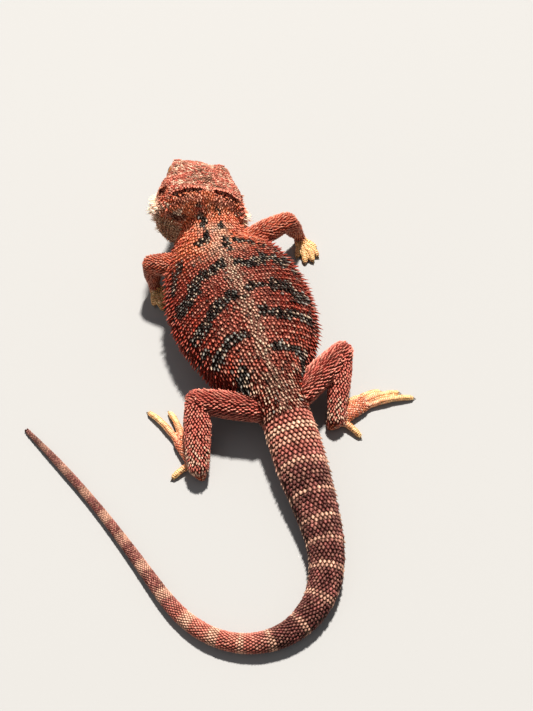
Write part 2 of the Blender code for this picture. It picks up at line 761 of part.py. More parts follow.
def varied(rng, size):
    return size * (1 + rng.uniform(-SPINE_VARIES, SPINE_VARIES))


def trunk_spines(rng, y_from, y_to):
    """The fringe of long spines on both flanks, and rows of short cones on the back."""
    spines = []
    for angle in (FLANK_ANGLE, 180.0 - FLANK_ANGLE):
        for i in range(FLANK_COUNT):
            y = between(FLANK_SPAN, i / (FLANK_COUNT - 1))
            length = varied(rng, FLANK_LENGTH)
            place = angle + FLANK_STAGGER * (1 if i % 2 else -1) * (1 if angle < 90 else -1)
            if y_from < y < y_to:
                spines.append(spine_on(trunk_surface, y, place, FLANK_LEAN, length, FLANK_WIDTH))
    for row, angle in enumerate(BACK_ROWS):
        for i in range(BACK_COUNT):
            y = between(BACK_SPAN, (i + 0.5 * (row % 2)) / BACK_COUNT)
            length = varied(rng, BACK_LENGTH)
            if y_from < y < y_to:
                spines.append(spine_on(trunk_surface, y, angle, BACK_LEAN, length, BACK_WIDTH))
    return spines


def neck_spines(rng):
    """A short slanting row of spines on each side of the neck."""
    spines = []
    for side in (1, -1):
        for i in range(NECK_COUNT):
            share = i / (NECK_COUNT - 1)
            y = between(NECK_SPAN, share)
            angle = 90 - side * between(NECK_ANGLES, share)
            length = varied(rng, NECK_LENGTH)
            spines.append(spine_on(trunk_surface, y, angle, NECK_LEAN, length, NECK_WIDTH))
    return spines


def tail_spines(rng, s_from, s_to):
    """The fringe of short spines down both sides of the tail's root."""
    spines = []
    for angle in (TAIL_FRINGE_ANGLE, 180.0 - TAIL_FRINGE_ANGLE):
        for i in range(TAIL_FRINGE_COUNT):
            s = between(TAIL_FRINGE_SPAN, i / (TAIL_FRINGE_COUNT - 1))
            length = varied(rng, TAIL_FRINGE_LENGTH)
            if s_from < s < s_to:
                spines.append(spine_on(tail_surface, s, angle, TAIL_FRINGE_LEAN, length, TAIL_FRINGE_WIDTH))
    return spines


def occipital_spines(rng):
    """The row over the back of the skull, with a notch at its middle."""
    spines = []
    forward, left, up = head_axes()
    for side in (1, -1):
        for i in range(OCCIPITAL_COUNT):
            share = (i + OCCIPITAL_NOTCH) / OCCIPITAL_COUNT
            place = -1.5 + 0.9 * share**2
            w = OCCIPITAL_REACH * share * side
            root = in_head(place, w, -0.5 - 1.9 * share**3)
            lean = up * 0.35 + left * side * (0.15 + 0.5 * share) - forward
            spines.append(spine(root, lean, varied(rng, OCCIPITAL_LENGTH), OCCIPITAL_WIDTH, left))
    return spines


def beard_spines(rng, rows):
    """Rows of the fringe along both sides of the jaw or the cheek, longest at the jaw's corner."""
    spines = []
    forward, left, up = head_axes()
    for side in (1, -1):
        for share, count, span, size, drop in rows:
            for i in range(count):
                run = i / (count - 1)
                place = between(span, run)
                length = size * between(BEARD_LENGTHS, run)
                root = head_surface(place, share if side > 0 else 1 - share)
                lean = left * side - forward * between(BEARD_LEANS, run) - up * drop
                spines.append(spine(root, lean, varied(rng, length), BEARD_WIDTH, forward))
    return spines


def make_head(rng):
    skull = loft("head", head_rings(True))
    rims = []
    for side in (1, -1):
        ear = in_head(EAR_AT[0], (EAR_AT[1] - EAR_RIM_SUNK) * side, EAR_AT[2])
        rims.append(sphere("ear_rim", ear, EAR_RIM_SIZE, head_axes(), segments=12, rows=8))
    bumps = [brow(1), brow(-1), lids(1), lids(-1), *rims]
    combine(skull, [*bumps, *occipital_spines(rng), *beard_spines(rng, CHEEK_ROWS)], "UNION")
    cutters = []
    eyes = []
    for side, word in ((1, "left"), (-1, "right")):
        eye = in_head(EYE_AT[0], EYE_AT[1] * side, EYE_AT[2])
        cutters.append(sphere("socket", eye, (EYE_RADIUS + GAP,) * 3))
        eyes.append(sphere("eye_" + word, eye, (EYE_RADIUS,) * 3, segments=14, rows=8))
        ear = in_head(EAR_AT[0], EAR_AT[1] * side, EAR_AT[2])
        cutters.append(sphere("ear", ear, EAR_SIZE, head_axes(), segments=12, rows=8))
        nostril = in_head(NOSTRIL_AT[0], NOSTRIL_AT[1] * side, NOSTRIL_AT[2])
        cutters.append(sphere("nostril", nostril, NOSTRIL_SIZE, head_axes(), segments=8, rows=6))
    combine(skull, cutters, "DIFFERENCE")
    jaw = loft("lower_jaw", head_rings(False))
    combine(jaw, beard_spines(rng, JAW_ROWS), "UNION")
    return [skull, jaw, *eyes]


def make_trunk(rng):
    """The neck, and the torso with its spines, both cut clear of the limbs that grow from them."""
    neck = loft("neck", trunk_rings(NECK_FRONT, NECK_JOIN + TORSO_RING))
    torso = loft("torso", trunk_rings(NECK_JOIN - TORSO_RING, TRUNK[-1][1]), on_floor=True)
    spines = trunk_spines(rng, NECK_JOIN + SPINE_CLEAR, TRUNK[-1][1] - SPINE_CLEAR)
    combine(torso, [*spines, *neck_spines(rng)], "UNION")
    join = trunk_row(NECK_JOIN)[0]
    slope = (trunk_row(NECK_JOIN + 1)[0] - trunk_row(NECK_JOIN - 1)[0]).normalized()
    keep_side(neck, join - slope * GAP / 2, slope)
    keep_side(torso, join + slope * GAP / 2, -slope)
    vent = tail_point(0.0)
    behind = (tail_point(TAIL_PROBE) - vent).normalized()
    keep_side(torso, vent - behind * GAP, behind)
    for piece in (neck, torso):
        combine(piece, [limb_cutter(joints, radii) for _, _, joints, radii, *_ in LIMBS], "DIFFERENCE")
    return [neck, torso]


def make_tail(rng):
    pieces = []
    for k, (start, end) in enumerate(zip(TAIL_CUTS, TAIL_CUTS[1:])):
        start = start + (GAP / 2 if k else 0.0)
        end = end - (GAP / 2 if k < len(TAIL_CUTS) - 2 else 0.0)
        piece = loft(f"tail_{k + 1}", tail_rings(start, end), on_floor=True)
        spines = tail_spines(rng, start + SPINE_CLEAR, end - SPINE_CLEAR)
        if spines:
            combine(piece, spines, "UNION")
        pieces.append(piece)
    return pieces


def part_head_from_body(skull, jaw):
    """A socket in the back of the head and the throat that the neck stands in, and room for the arms."""
    for piece in (skull, jaw):
        socket = loft("neck_cutter", trunk_rings(NECK_FRONT - GAP, NECK_JOIN, grow=GAP))
        arms = [limb_cutter(joints, ARM_RADII) for joints in (ARM_LEFT, ARM_RIGHT)]
        combine(piece, [socket, *arms], "DIFFERENCE")


def finish(obj, material, collection):
    obj.data.transform(Matrix.Scale(METRES, 4))
    obj.data.materials.clear()
    obj.data.materials.append(material)
    obj.data.shade_smooth()
    obj.data.set_sharp_from_angle(angle=math.radians(50))
    bpy.context.scene.collection.objects.unlink(obj)
    collection.objects.link(obj)


def main():
    clear_scene()
    rng = random.Random(SPINE_SEED)
    limb_pieces, paws = [], []
    for row in LIMBS:
        upper, lower, paw = limb(*row)
        limb_pieces += [upper, lower]
        paws.append(paw)
    neck, torso = make_trunk(rng)
    skull, jaw, *eyes = make_head(rng)
    part_head_from_body(skull, jaw)
    looks = {
        "skin_red": [skull, neck, torso, *limb_pieces],
        "skin_tail": make_tail(rng),
        "skin_pale": paws,
        "beard_white": [jaw],
        "eye": eyes,
    }
    animal = bpy.data.collections.new("bearded_dragon")
    bpy.context.scene.collection.children.link(animal)
    for name, pieces in looks.items():
        material = make_material(name)
        for obj in pieces:
            finish(obj, material, animal)


main()
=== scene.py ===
"""The looks of a life-size young bearded dragon: one scaly skin with its scales, spines, claws and eyes.

Lengths are millimetres until the meshes are finished. The animal faces -Y, its left is +X and +Z is up.
Every part of the body is a grid of points, a ring round each place along it. The skin is lofted over the
grids, and the scales are set in rows on them.
"""

import math

import bmesh
import bpy
import numpy as np
from mathutils import Matrix, Vector, noise
from mathutils.bvhtree import BVHTree
from mathutils.kdtree import KDTree


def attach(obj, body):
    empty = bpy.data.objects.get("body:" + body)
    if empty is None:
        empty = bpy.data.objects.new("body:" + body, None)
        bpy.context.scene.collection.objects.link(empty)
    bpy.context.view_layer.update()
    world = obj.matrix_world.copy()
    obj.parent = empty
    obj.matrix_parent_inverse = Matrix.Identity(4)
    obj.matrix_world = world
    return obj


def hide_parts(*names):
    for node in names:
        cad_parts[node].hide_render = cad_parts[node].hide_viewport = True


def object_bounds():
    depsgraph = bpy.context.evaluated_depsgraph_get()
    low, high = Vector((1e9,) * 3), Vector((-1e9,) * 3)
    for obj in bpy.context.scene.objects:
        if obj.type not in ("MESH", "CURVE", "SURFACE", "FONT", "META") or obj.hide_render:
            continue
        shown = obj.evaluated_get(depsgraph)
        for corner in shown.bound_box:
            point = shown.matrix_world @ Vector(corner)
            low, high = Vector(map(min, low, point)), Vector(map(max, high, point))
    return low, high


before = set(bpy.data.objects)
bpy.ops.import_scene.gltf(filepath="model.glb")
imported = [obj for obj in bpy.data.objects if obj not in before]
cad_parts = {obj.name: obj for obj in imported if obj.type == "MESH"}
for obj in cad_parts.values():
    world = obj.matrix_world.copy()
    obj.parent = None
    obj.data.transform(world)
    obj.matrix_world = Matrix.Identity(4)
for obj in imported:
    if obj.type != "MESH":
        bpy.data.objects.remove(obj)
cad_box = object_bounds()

METRES = 0.001
CAD_BOX = np.array([list(corner) for corner in cad_box]) / METRES
PELVIS = np.array([-10.11, 9.57, 0.0])
COAT = 0.2
VOXEL = 0.27

# The trunk from the nape to the vent: y, then x and z of its centre, half width, height above, depth below.
TRUNK = [
    (-47.6, -2.6, 13.6, 5.6, 5.0, 6.6), (-44.8, -2.1, 12.6, 5.9, 4.9, 6.9),
    (-42.2, -1.4, 11.6, 6.8, 5.0, 7.0), (-39.6, -0.7, 10.4, 8.6, 5.5, 6.8),
    (-36.6, -0.5, 9.3, 11.2, 6.0, 6.4), (-33.0, -0.6, 8.2, 13.0, 6.4, 6.9),
    (-28.0, -0.8, 7.2, 14.2, 6.9, 7.2), (-22.0, -0.8, 6.6, 14.3, 7.2, 6.9),
    (-16.0, -0.5, 6.2, 13.2, 7.2, 6.5), (-11.0, -0.1, 6.0, 11.1, 6.8, 6.3), (-6.5, 0.0, 5.9, 8.0, 6.0, 5.8),
    (-3.0, 0.0, 5.7, 6.0, 5.1, 5.0), (0.0, 0.0, 5.4, 5.0, 4.7, 4.6), (2.4, 0.0, 5.0, 4.7, 4.4, 4.4),
]
TRUNK_POWER = 2.3
NECK_FRONT = -47.0

TAIL = [
    (0.0, 4.7), (6.0, 4.85), (12.0, 4.7), (18.0, 4.2), (25.0, 3.6), (32.0, 3.15), (39.0, 2.7), (46.0, 2.2),
    (54.0, 1.85), (63.0, 1.65), (73.0, 1.4), (84.0, 1.15), (96.0, 0.95), (110.0, 0.75), (118.0, 0.45),
]
TAIL_LENGTH = 118.0
TAIL_HEIGHT_SHARE = 0.92
TAIL_HEADINGS = (6.0, 167.0)
TAIL_TIP_BEND = -8.0
TAIL_TURN = (18.0, 76.0)

HEAD_AT = np.array([-2.7, -47.3, 20.0])
HEAD_TURN = (12.0, 18.0, 17.0)
HEAD = [
    (-3.5, -4.6, 3.6, -6.0, 5.4, -8.4, 5.2, -12.0), (-2.6, -1.9, 5.2, -5.7, 7.2, -8.3, 7.2, -13.3),
    (-1.6, -0.3, 6.2, -5.4, 8.3, -8.2, 8.6, -14.2), (0.0, 0.0, 6.6, -5.2, 9.0, -8.1, 9.5, -14.6),
    (2.0, 0.1, 6.7, -5.0, 9.2, -8.0, 9.5, -14.3), (4.5, 0.0, 6.5, -4.9, 8.9, -7.8, 8.8, -12.8),
    (7.5, -0.1, 5.8, -4.8, 7.8, -7.5, 7.4, -10.6), (10.0, -0.7, 4.8, -4.8, 6.5, -7.2, 5.9, -9.3),
    (12.5, -1.6, 3.5, -5.0, 5.1, -7.0, 4.6, -8.5), (15.0, -2.6, 2.7, -5.2, 4.0, -6.9, 3.6, -8.1),
    (16.9, -3.7, 1.9, -5.4, 2.8, -6.8, 2.6, -7.7), (17.7, -4.7, 1.0, -5.7, 1.4, -6.6, 1.3, -7.2),
]
THROAT_FULLNESS = 0.72
HEAD_SIDES = 120
MOUTH = [(-3.5, -6.1), (3.5, -6.1), (7.0, -6.6), (12.0, -6.5), (17.7, -6.1)]
LIP = 0.22
MOUTH_CORNER = 3.4
LIP_HEIGHT = 0.8
EYE_AT = (9.2, 4.6, -2.8)
EYE_RADIUS = 2.1
EYE_TURN = (0.25, 1.0, 0.22)
LID_OPEN = (47.0, 32.0)
BROW_AT = (8.8, 4.3, -1.8)
BROW_SIZE = (3.8, 2.5, 1.65)
EAR_AT = (2.2, 8.9, -3.8)
EAR_SIZE = (1.25, 1.45)
NOSTRIL_AT = (15.4, 3.0, -4.2)

ARM_RADII = [(2.5, 2.6, 2.2), (2.2, 2.1, 1.4)]
LEG_LEFT_RADII = [(2.8, 2.8, 2.4), (2.4, 2.7, 2.2)]
LEG_RIGHT_RADII = [(2.9, 2.9, 2.4), (2.3, 2.4, 1.7)]
# Digits from the innermost: angle outwards from the heading, length, then its root from the ankle.
HAND_LEFT = [
    (-40.0, 2.0, 1.6, -1.1), (-20.0, 2.9, 2.6, -0.8), (0.0, 3.3, 2.8, 0.0), (20.0, 3.1, 2.6, 0.8),
    (42.0, 2.2, 1.7, 1.1),
]
HAND_RIGHT = [
    (-30.0, 2.0, 1.6, -1.1), (-15.0, 2.9, 2.6, -0.8), (0.0, 3.4, 2.8, 0.0), (14.0, 3.2, 2.6, 0.8),
    (32.0, 2.2, 1.7, 1.1),
]
FOOT_LEFT = [
    (-30.0, 3.0, 4.6, -1.7), (-22.0, 4.8, 7.2, -1.2), (-9.0, 6.4, 8.4, -0.2), (9.0, 8.4, 8.5, 1.0),
    (95.0, 4.0, 2.0, 0.9),
]
FOOT_RIGHT = [
    (-3.0, 3.0, 4.6, -1.9), (7.0, 4.9, 7.0, -1.3), (15.0, 7.0, 8.0, -0.1), (21.0, 9.0, 8.0, 1.1),
    (76.0, 4.2, 1.4, 0.9),
]
HAND_SOLE = (1.7, 1.3)
FOOT_SOLE = (1.9, 1.5)
# Name, side, joints from the pelvis, radii of the two segments, heading, digits, sole.
LIMBS = [
    ("arm_left", 1, [(7.0, -37.8, 9.6), (12.3, -41.2, 8.5), (12.5, -41.0, 2.2)],
     ARM_RADII, 194.0, HAND_LEFT, HAND_SOLE),
    ("arm_right", -1, [(-8.6, -38.9, 9.7), (-17.8, -41.2, 8.7), (-20.9, -41.6, 2.2)],
     ARM_RADII, 170.0, HAND_RIGHT, HAND_SOLE),
    ("leg_left", 1, [(4.6, -1.6, 6.3), (15.0, -7.7, 6.4), (19.2, 4.1, 2.6)],
     LEG_LEFT_RADII, 4.0, FOOT_LEFT, FOOT_SOLE),
    ("leg_right", -1, [(-4.8, -1.8, 6.3), (-15.7, -7.2, 7.0), (-9.6, 4.0, 2.3)],
     LEG_RIGHT_RADII, 72.0, FOOT_RIGHT, FOOT_SOLE),
]
DIGIT_RADII = [(0.0, 0.66), (0.5, 0.6), (1.0, 0.48)]
DIGIT_LEAN = 7.0
DIGIT_SUNK = 0.8
CLAW_LENGTH = 1.1
CLAW_RADIUS = 0.3

# Colours, as linear red, green and blue.
MAROON = (0.16, 0.011, 0.008)
BRICK = (0.46, 0.040, 0.022)
ORANGE = (0.84, 0.200, 0.066)
RUST = (0.74, 0.095, 0.044)
PINK = (0.82, 0.25, 0.18)
CREAM = (0.95, 0.71, 0.52)
ROSY = (0.96, 0.42, 0.31)
STRIPE = (0.90, 0.50, 0.38)
DARK = (0.013, 0.012, 0.011)
ASH = (0.56, 0.54, 0.48)
MAUVE = (0.40, 0.135, 0.120)
TAIL_DARK = (0.070, 0.020, 0.020)
TAIL_PALE = (0.86, 0.52, 0.37)
IVORY = (0.86, 0.53, 0.19)
SALMON = (0.66, 0.17, 0.085)
OLIVE = (0.075, 0.050, 0.026)
CROWN = (0.48, 0.140, 0.090)
THROAT = (0.50, 0.27, 0.15)
WHITE = (0.92, 0.86, 0.77)
BELLY = (0.62, 0.36, 0.26)
# Painted shade: the near black put in the gaps between scales, at their roots, in creases and in holes.
PAINTED_SHADE = (0.030, 0.006, 0.005)
IRIS = (0.34, 0.13, 0.035)
PUPIL = (0.003, 0.003, 0.003)
LIMBUS = (0.012, 0.008, 0.007)

# Dark marks across the back: half width, then places (y, sideways from the middle line).
BLOTCHES = [
    (0.95, [(-33.4, 1.4), (-32.7, 3.5), (-32.1, 5.9), (-31.0, 7.5), (-29.0, 9.0), (-27.7, 10.9),
            (-26.4, 12.4)]),
    (0.70, [(-36.6, 8.6), (-34.7, 10.4), (-32.0, 12.2)]),
    (0.85, [(-24.9, 1.8), (-23.9, 3.7), (-23.0, 6.2), (-21.4, 7.8), (-20.0, 9.4), (-18.6, 11.4),
            (-18.1, 12.2)]),
    (0.75, [(-15.0, 2.4), (-14.7, 4.3), (-13.9, 6.0), (-12.9, 7.7), (-11.8, 8.9)]),
    (0.60, [(-14.4, 10.8), (-13.9, 11.3)]),
    (0.70, [(-8.2, 5.0), (-7.3, 5.5), (-5.7, 6.4), (-4.0, 6.4)]),
    (0.95, [(-32.9, -2.6), (-31.4, -4.3), (-31.8, -7.2), (-31.2, -9.8), (-29.7, -11.4)]),
    (0.70, [(-27.2, -13.2), (-26.2, -14.2)]),
    (0.60, [(-25.0, -1.8), (-25.2, -3.8), (-24.4, -7.1)]),
    (0.90, [(-24.4, -7.1), (-23.6, -9.2), (-22.0, -10.2), (-20.8, -11.5), (-20.2, -13.2)]),
    (0.80, [(-18.5, -3.0), (-17.7, -5.8), (-17.0, -8.3), (-16.1, -10.4), (-15.4, -12.4)]),
    (0.45, [(-13.4, -11.3), (-12.8, -12.3)]),
    (0.75, [(-10.4, -2.7), (-9.6, -5.3), (-8.6, -7.0), (-6.9, -7.6), (-4.6, -6.6)]),
    (0.75, [(-45.4, 1.9), (-43.6, 2.3), (-42.4, 2.2)]),
    (0.65, [(-45.0, -1.3), (-43.4, -1.4), (-42.2, -1.2)]),
    (0.80, [(-40.3, 2.0), (-39.5, 2.5), (-39.2, 4.0)]),
    (0.80, [(-39.4, -1.7), (-38.2, -2.1), (-36.6, -2.3)]),
    (0.60, [(-38.4, -3.6), (-37.2, -5.9), (-35.8, -8.0), (-34.8, -9.4)]),
    (0.20, [(-46.5, 0.0), (-41.5, 0.1)]),
    (0.16, [(-36.4, 0.0), (-34.2, 0.1)]),
]
# The tail's pale bands: where along it, and how strong.
BANDS = [
    (3.0, 1.0), (5.5, 0.6), (10.2, 0.9), (16.4, 0.85), (21.8, 0.85), (26.0, 0.8), (31.2, 0.8), (37.0, 0.8),
    (43.0, 0.8), (49.2, 0.85), (54.4, 0.85), (59.6, 0.9), (65.4, 0.9), (72.0, 0.9), (79.0, 0.85), (86.0, 0.8),
    (92.0, 0.75), (98.6, 0.7), (105.4, 0.6), (112.0, 0.5),
]


def through(rows, at):
    """The table's other columns at values of its first one, on smooth curves through its rows."""
    rows = np.array(rows, float)
    keys, values = rows[:, 0], rows[:, 1:]
    slopes = np.gradient(values, keys, axis=0)
    at = np.clip(np.asarray(at, float), keys[0], keys[-1])
    i = np.clip(np.searchsorted(keys, at) - 1, 0, len(keys) - 2)
    span = (keys[i + 1] - keys[i])[..., None]
    t = (at - keys[i])[..., None] / span
    near = (1 + 2 * t) * (1 - t) ** 2 * values[i] + t * (1 - t) ** 2 * span * slopes[i]
    far = t * t * (3 - 2 * t) * values[i + 1] + t * t * (t - 1) * span * slopes[i + 1]
    return near + far


def smoothstep(t):
    t = np.clip(t, 0.0, 1.0)
    return t * t * (3 - 2 * t)


def unit(v):
    return v / np.maximum(np.linalg.norm(v, axis=-1, keepdims=True), 1e-9)


def signed_power(v, power):
    return np.sign(v) * np.abs(v) ** power


def tube(path, sizes, hint, sides, power=2.0):
    """A ring of points about each point of a path: half width, height above and depth below."""
    path, sizes = np.array(path, float), np.array(sizes, float)
    tangent = unit(np.gradient(path, axis=0))
    side = unit(np.cross(tangent, hint))
    up = np.cross(side, tangent)
    a = np.linspace(0, 2 * np.pi, sides, endpoint=False)
    power = np.broadcast_to(2.0 / np.asarray(power, float), (len(path),))[:, None]
    across = signed_power(np.cos(a)[None], power)
    rise = signed_power(np.sin(a)[None], power)
    height = np.where(rise > 0, sizes[:, 1:2], sizes[:, 2:3])
    sideways = side[:, None] * (sizes[:, 0:1] * across)[..., None]
    return path[:, None] + sideways + up[:, None] * (height * rise)[..., None]


class Part:
    """A grid of points over one part of the body, with the place along it of each ring."""

    def __init__(self, name, grid, places, floor=True):
        self.name = name
        self.grid = np.array(grid)
        if floor:
            self.grid[..., 2] = np.maximum(self.grid[..., 2], 0.0)
        self.places = np.array(places, float)

    def at(self, u, v):
        """Points at ring places u (in rings) and turns v (0 to 1 round)."""
        n, m, _ = self.grid.shape
        u = np.clip(u, 0, n - 1.001)
        v = np.mod(v, 1.0) * m
        i, j = u.astype(int), v.astype(int) % m
        fu, fv = (u - i)[:, None], (v - np.floor(v))[:, None]
        k = (j + 1) % m
        g = self.grid
        near = g[i, j] * (1 - fv) + g[i, k] * fv
        far = g[i + 1, j] * (1 - fv) + g[i + 1, k] * fv
        return near * (1 - fu) + far * fu

    def place(self, u):
        return np.interp(u, np.arange(len(self.places)), self.places)

    def ring_at(self, place):
        return np.interp(place, self.places, np.arange(len(self.places)))


def trunk_part():
    y = np.arange(NECK_FRONT, 2.41, 0.4)
    row = through(TRUNK, y)
    path = PELVIS + np.stack([row[:, 0], y, row[:, 1]], 1)
    return Part("trunk", tube(path, row[:, 2:] - COAT, (0, 0, 1), 96, TRUNK_POWER), y)


def tail_path():
    """The tail's course on the floor: lengths along it, points and radii."""
    step = 0.25
    s = np.arange(0, TAIL_LENGTH + step / 2, step)
    middle = s[:-1] + step / 2
    share = smoothstep((middle - TAIL_TURN[0]) / (TAIL_TURN[1] - TAIL_TURN[0]))
    tip = smoothstep((middle - TAIL_TURN[1]) / (TAIL_LENGTH - TAIL_TURN[1]))
    angle = np.radians(TAIL_HEADINGS[0] + (TAIL_HEADINGS[1] - TAIL_HEADINGS[0]) * share + TAIL_TIP_BEND * tip)
    steps = np.stack([np.sin(angle), np.cos(angle), np.zeros(len(angle))], 1) * step
    last = TRUNK[-1]
    path = PELVIS + np.array([last[1], last[0], 0.0]) + np.vstack([[0, 0, 0], np.cumsum(steps, 0)])
    radius = through(TAIL, s)[:, 0]
    settle = smoothstep(s / 12.0)
    path[:, 2] = last[2] * (1 - settle) + radius * TAIL_HEIGHT_SHARE * TAIL_HEIGHT_SHARE * settle
    return s[::2], path[::2], radius[::2]


def tail_part():
    s, path, radius = tail_path()
    width = radius - np.minimum(COAT, radius * 0.15)
    root = smoothstep(s / 12.0)
    power = TRUNK_POWER * (1 - root) + 2.0 * root
    height = width * TAIL_HEIGHT_SHARE
    return Part("tail", tube(path, np.stack([width, height, height], 1), (0, 0, 1), 64, power), s)


def head_axes():
    yaw, pitch, roll = np.radians(HEAD_TURN)
    forward = np.array([-math.sin(yaw) * math.cos(pitch), -math.cos(yaw) * math.cos(pitch), -math.sin(pitch)])
    level_left = np.array([math.cos(yaw), -math.sin(yaw), 0])
    level_up = np.cross(forward, level_left)
    left = level_left * math.cos(roll) + level_up * math.sin(roll)
    up = level_up * math.cos(roll) - level_left * math.sin(roll)
    return forward, left, up


HEAD_AXES = np.array(head_axes())


def from_head_frame(places):
    return PELVIS + HEAD_AT + places @ HEAD_AXES


def in_head(*place):
    return from_head_frame(np.array(place, float))


def mirrored(place, side):
    """A place in the head's frame, on the left (1) or the right (-1)."""
    return in_head(place[0], place[1] * side, place[2])


def mouth_height(forward):
    return through(MOUTH, forward)[:, 0]


def in_slit(place, width, beyond):
    """Which places in the head's frame lie within a width of the mouth line, from its corner forwards."""
    return (np.abs(place[:, 2] - mouth_height(place[:, 0])) < width) & (place[:, 0] > MOUTH_CORNER - beyond)


def from_head(points):
    """Forward, left and up distances in the head's own frame."""
    return (points - PELVIS - HEAD_AT) @ HEAD_AXES.T


def closed_curve(corners, count):
    """Points on a smooth closed curve through the corners."""
    corners = np.array(corners, float)
    n = len(corners)
    place = np.arange(count) * n / count
    i = place.astype(int)
    t = (place - i)[:, None]
    a, b, c, d = (corners[(i + j) % n] for j in (-1, 0, 1, 2))
    square = (2 * a - 5 * b + 4 * c - d) * t**2
    cube = (3 * b - a - 3 * c + d) * t**3
    return 0.5 * (2 * b + (c - a) * t + square + cube)


def head_part():
    share = np.linspace(0, 1, 76)
    share = share + 0.12 * np.sin(np.pi * share) * share
    places = HEAD[0][0] + (HEAD[-1][0] - HEAD[0][0]) * share
    rings = []
    for forward, row, mouth in zip(places, through(HEAD, places), mouth_height(places)):
        top, top_w, cheek, cheek_w, jaw, jaw_w, throat = row
        half = [
            (0.5 * top_w, top),
            (0.95 * top_w, top - 0.12 * (top - cheek)),
            (0.45 * top_w + 0.58 * cheek_w, 0.45 * top + 0.55 * cheek),
            (cheek_w, cheek),
            (jaw_w, jaw),
            (THROAT_FULLNESS * jaw_w, 0.75 * throat + 0.25 * jaw),
        ]
        corners = [(0.0, top), *half, (0.0, throat), *[(-w, h) for w, h in reversed(half)]]
        curve = closed_curve(corners, HEAD_SIDES)
        lip = LIP * np.maximum(0.0, 1 - np.abs(curve[:, 1] - mouth) / LIP_HEIGHT)
        curve[:, 0] += np.sign(curve[:, 0]) * lip
        middle = curve.mean(0)
        curve = middle + (curve - middle) * (1 - COAT / np.linalg.norm(curve - middle, axis=1))[:, None]
        full = np.column_stack([np.full(HEAD_SIDES, forward), curve])
        rings.append(from_head_frame(full))
    return Part("head", rings, places)


def segment_part(name, start, end, radii):
    """A rounded limb segment from joint to joint, with its radii at both ends and between."""
    start, end = PELVIS + start, PELVIS + end
    first, middle, last = (r - COAT for r in radii)
    axis = unit(end - start)
    length = np.linalg.norm(end - start)
    angles = np.radians(np.arange(85, 4, -8))
    inner = np.linspace(0, length, max(6, round(length / 0.5)))
    radius = through([(0.0, first), (0.4, middle), (1.0, last)], inner / length)[:, 0]
    along = np.concatenate([-first * np.sin(angles), inner, length + last * np.sin(angles[::-1])])
    size = np.concatenate([first * np.cos(angles), radius, last * np.cos(angles[::-1])])
    path = start + axis * along[:, None]
    return Part(name, tube(path, np.repeat(size[:, None], 3, 1), (0, 1, 0), 40), along)


def heading_vector(angle):
    return np.array([math.sin(angle), -math.cos(angle), 0.0])


def sole_part(name, ankle, turn, reach, sole):
    """The palm or sole: a low, flat form on the floor from the ankle to the digits' roots."""
    half_width, radius = sole
    along = heading_vector(turn)
    rows = [
        (-0.24, 0.3, 0.35),
        (-0.22, 0.45, 0.5),
        (-0.12, 0.8, 0.85),
        (0.0, 1.0, 1.0),
        (0.3, 1.0, 0.9),
        (0.6, 1.0, 0.78),
        (0.85, 1.0, 0.68),
        (1.0, 0.85, 0.58),
        (1.08, 0.5, 0.4),
    ]
    share = np.linspace(rows[0][0], rows[-1][0], 30)
    width, height = through(rows, share).T
    spread = radius + (half_width - radius) * np.clip(np.maximum(share, 0) / 0.8, 0, 1)
    tall = radius * height - COAT * 0.5
    path = np.array([ankle[0], ankle[1], 0]) + along * (reach * share)[:, None]
    path[:, 2] = tall * 0.9 + COAT * 0.5
    sizes = np.stack([spread * width - COAT * 0.5, tall, tall], 1)
    return Part(name, tube(path, sizes, (0, 0, 1), 40), share * reach)


def digit_part(name, root, heading, length, lean):
    """A digit with faint knuckles, leaning outwards to its tip."""
    share = np.linspace(0, 1, 24)
    angle = np.radians(heading + lean * share * share)
    radius = through(DIGIT_RADII, share)[:, 0] * (1 + 0.05 * np.cos(share * 2 * np.pi * 2.5))
    run = (length + 0.35) * share
    height = radius * 0.9 + 0.35 * np.sin(np.pi * share)
    path = np.stack([root[0] + np.sin(angle) * run, root[1] - np.cos(angle) * run, height], 1)
    size = radius * np.sqrt(np.clip(1 - np.clip((share - 0.9) / 0.11, 0, 1) ** 2, 0.02, 1))
    return Part(name, tube(path, np.stack([size, size * 0.95, size * 0.95], 1), (0, 0, 1), 24), run)


def claw_grid(part):
    """A claw that grows from a digit's tip and curves down to the floor."""
    tip = part.grid[-2].mean(0)
    along = unit(part.grid[-1].mean(0) - part.grid[-6].mean(0)) * np.array([1, 1, 0.3])
    share = np.linspace(0, 1, 9)
    lift = 0.42 * np.sin(np.pi * np.minimum(share * 1.15, 1.0)) * 0.6
    path = tip + along * ((share * CLAW_LENGTH) - 0.25)[:, None]
    path[:, 2] = tip[2] * (1 - share**1.6) + 0.06 * share + lift * (1 - share)
    size = CLAW_RADIUS * (1 - 0.9 * share**1.1)
    return tube(path, np.stack([size * 0.75, size, size], 1), (0, 0, 1), 10)


def limb_parts():
    """The grids of both arms and legs: segments, soles and digits."""
    segments, soles, digits = [], [], []
    for name, outward, joints, radii, heading, toes, sole in LIMBS:
        joints = [np.array(j) for j in joints]
        segments.append(segment_part(name + "_upper", joints[0], joints[1], radii[0]))
        segments.append(segment_part(name + "_lower", joints[1], joints[2], radii[1]))
        ankle = PELVIS + joints[2]
        turn = math.radians(heading * outward)
        reach = max(t[2] for t in toes)
        soles.append(sole_part(name + "_sole", ankle, turn, reach, sole))
        along = heading_vector(turn)
        across = np.array([math.cos(turn), math.sin(turn), 0]) * outward
        for k, (angle, length, forward, aside) in enumerate(toes):
            own = (heading + angle) * outward
            root = np.array([ankle[0], ankle[1], 0]) + along * forward + across * aside
            root = root - heading_vector(math.radians(own)) * DIGIT_SUNK
            digits.append(digit_part(f"{name}_{k}", root, own, length + DIGIT_SUNK, DIGIT_LEAN * outward))
    return segments, soles, digits


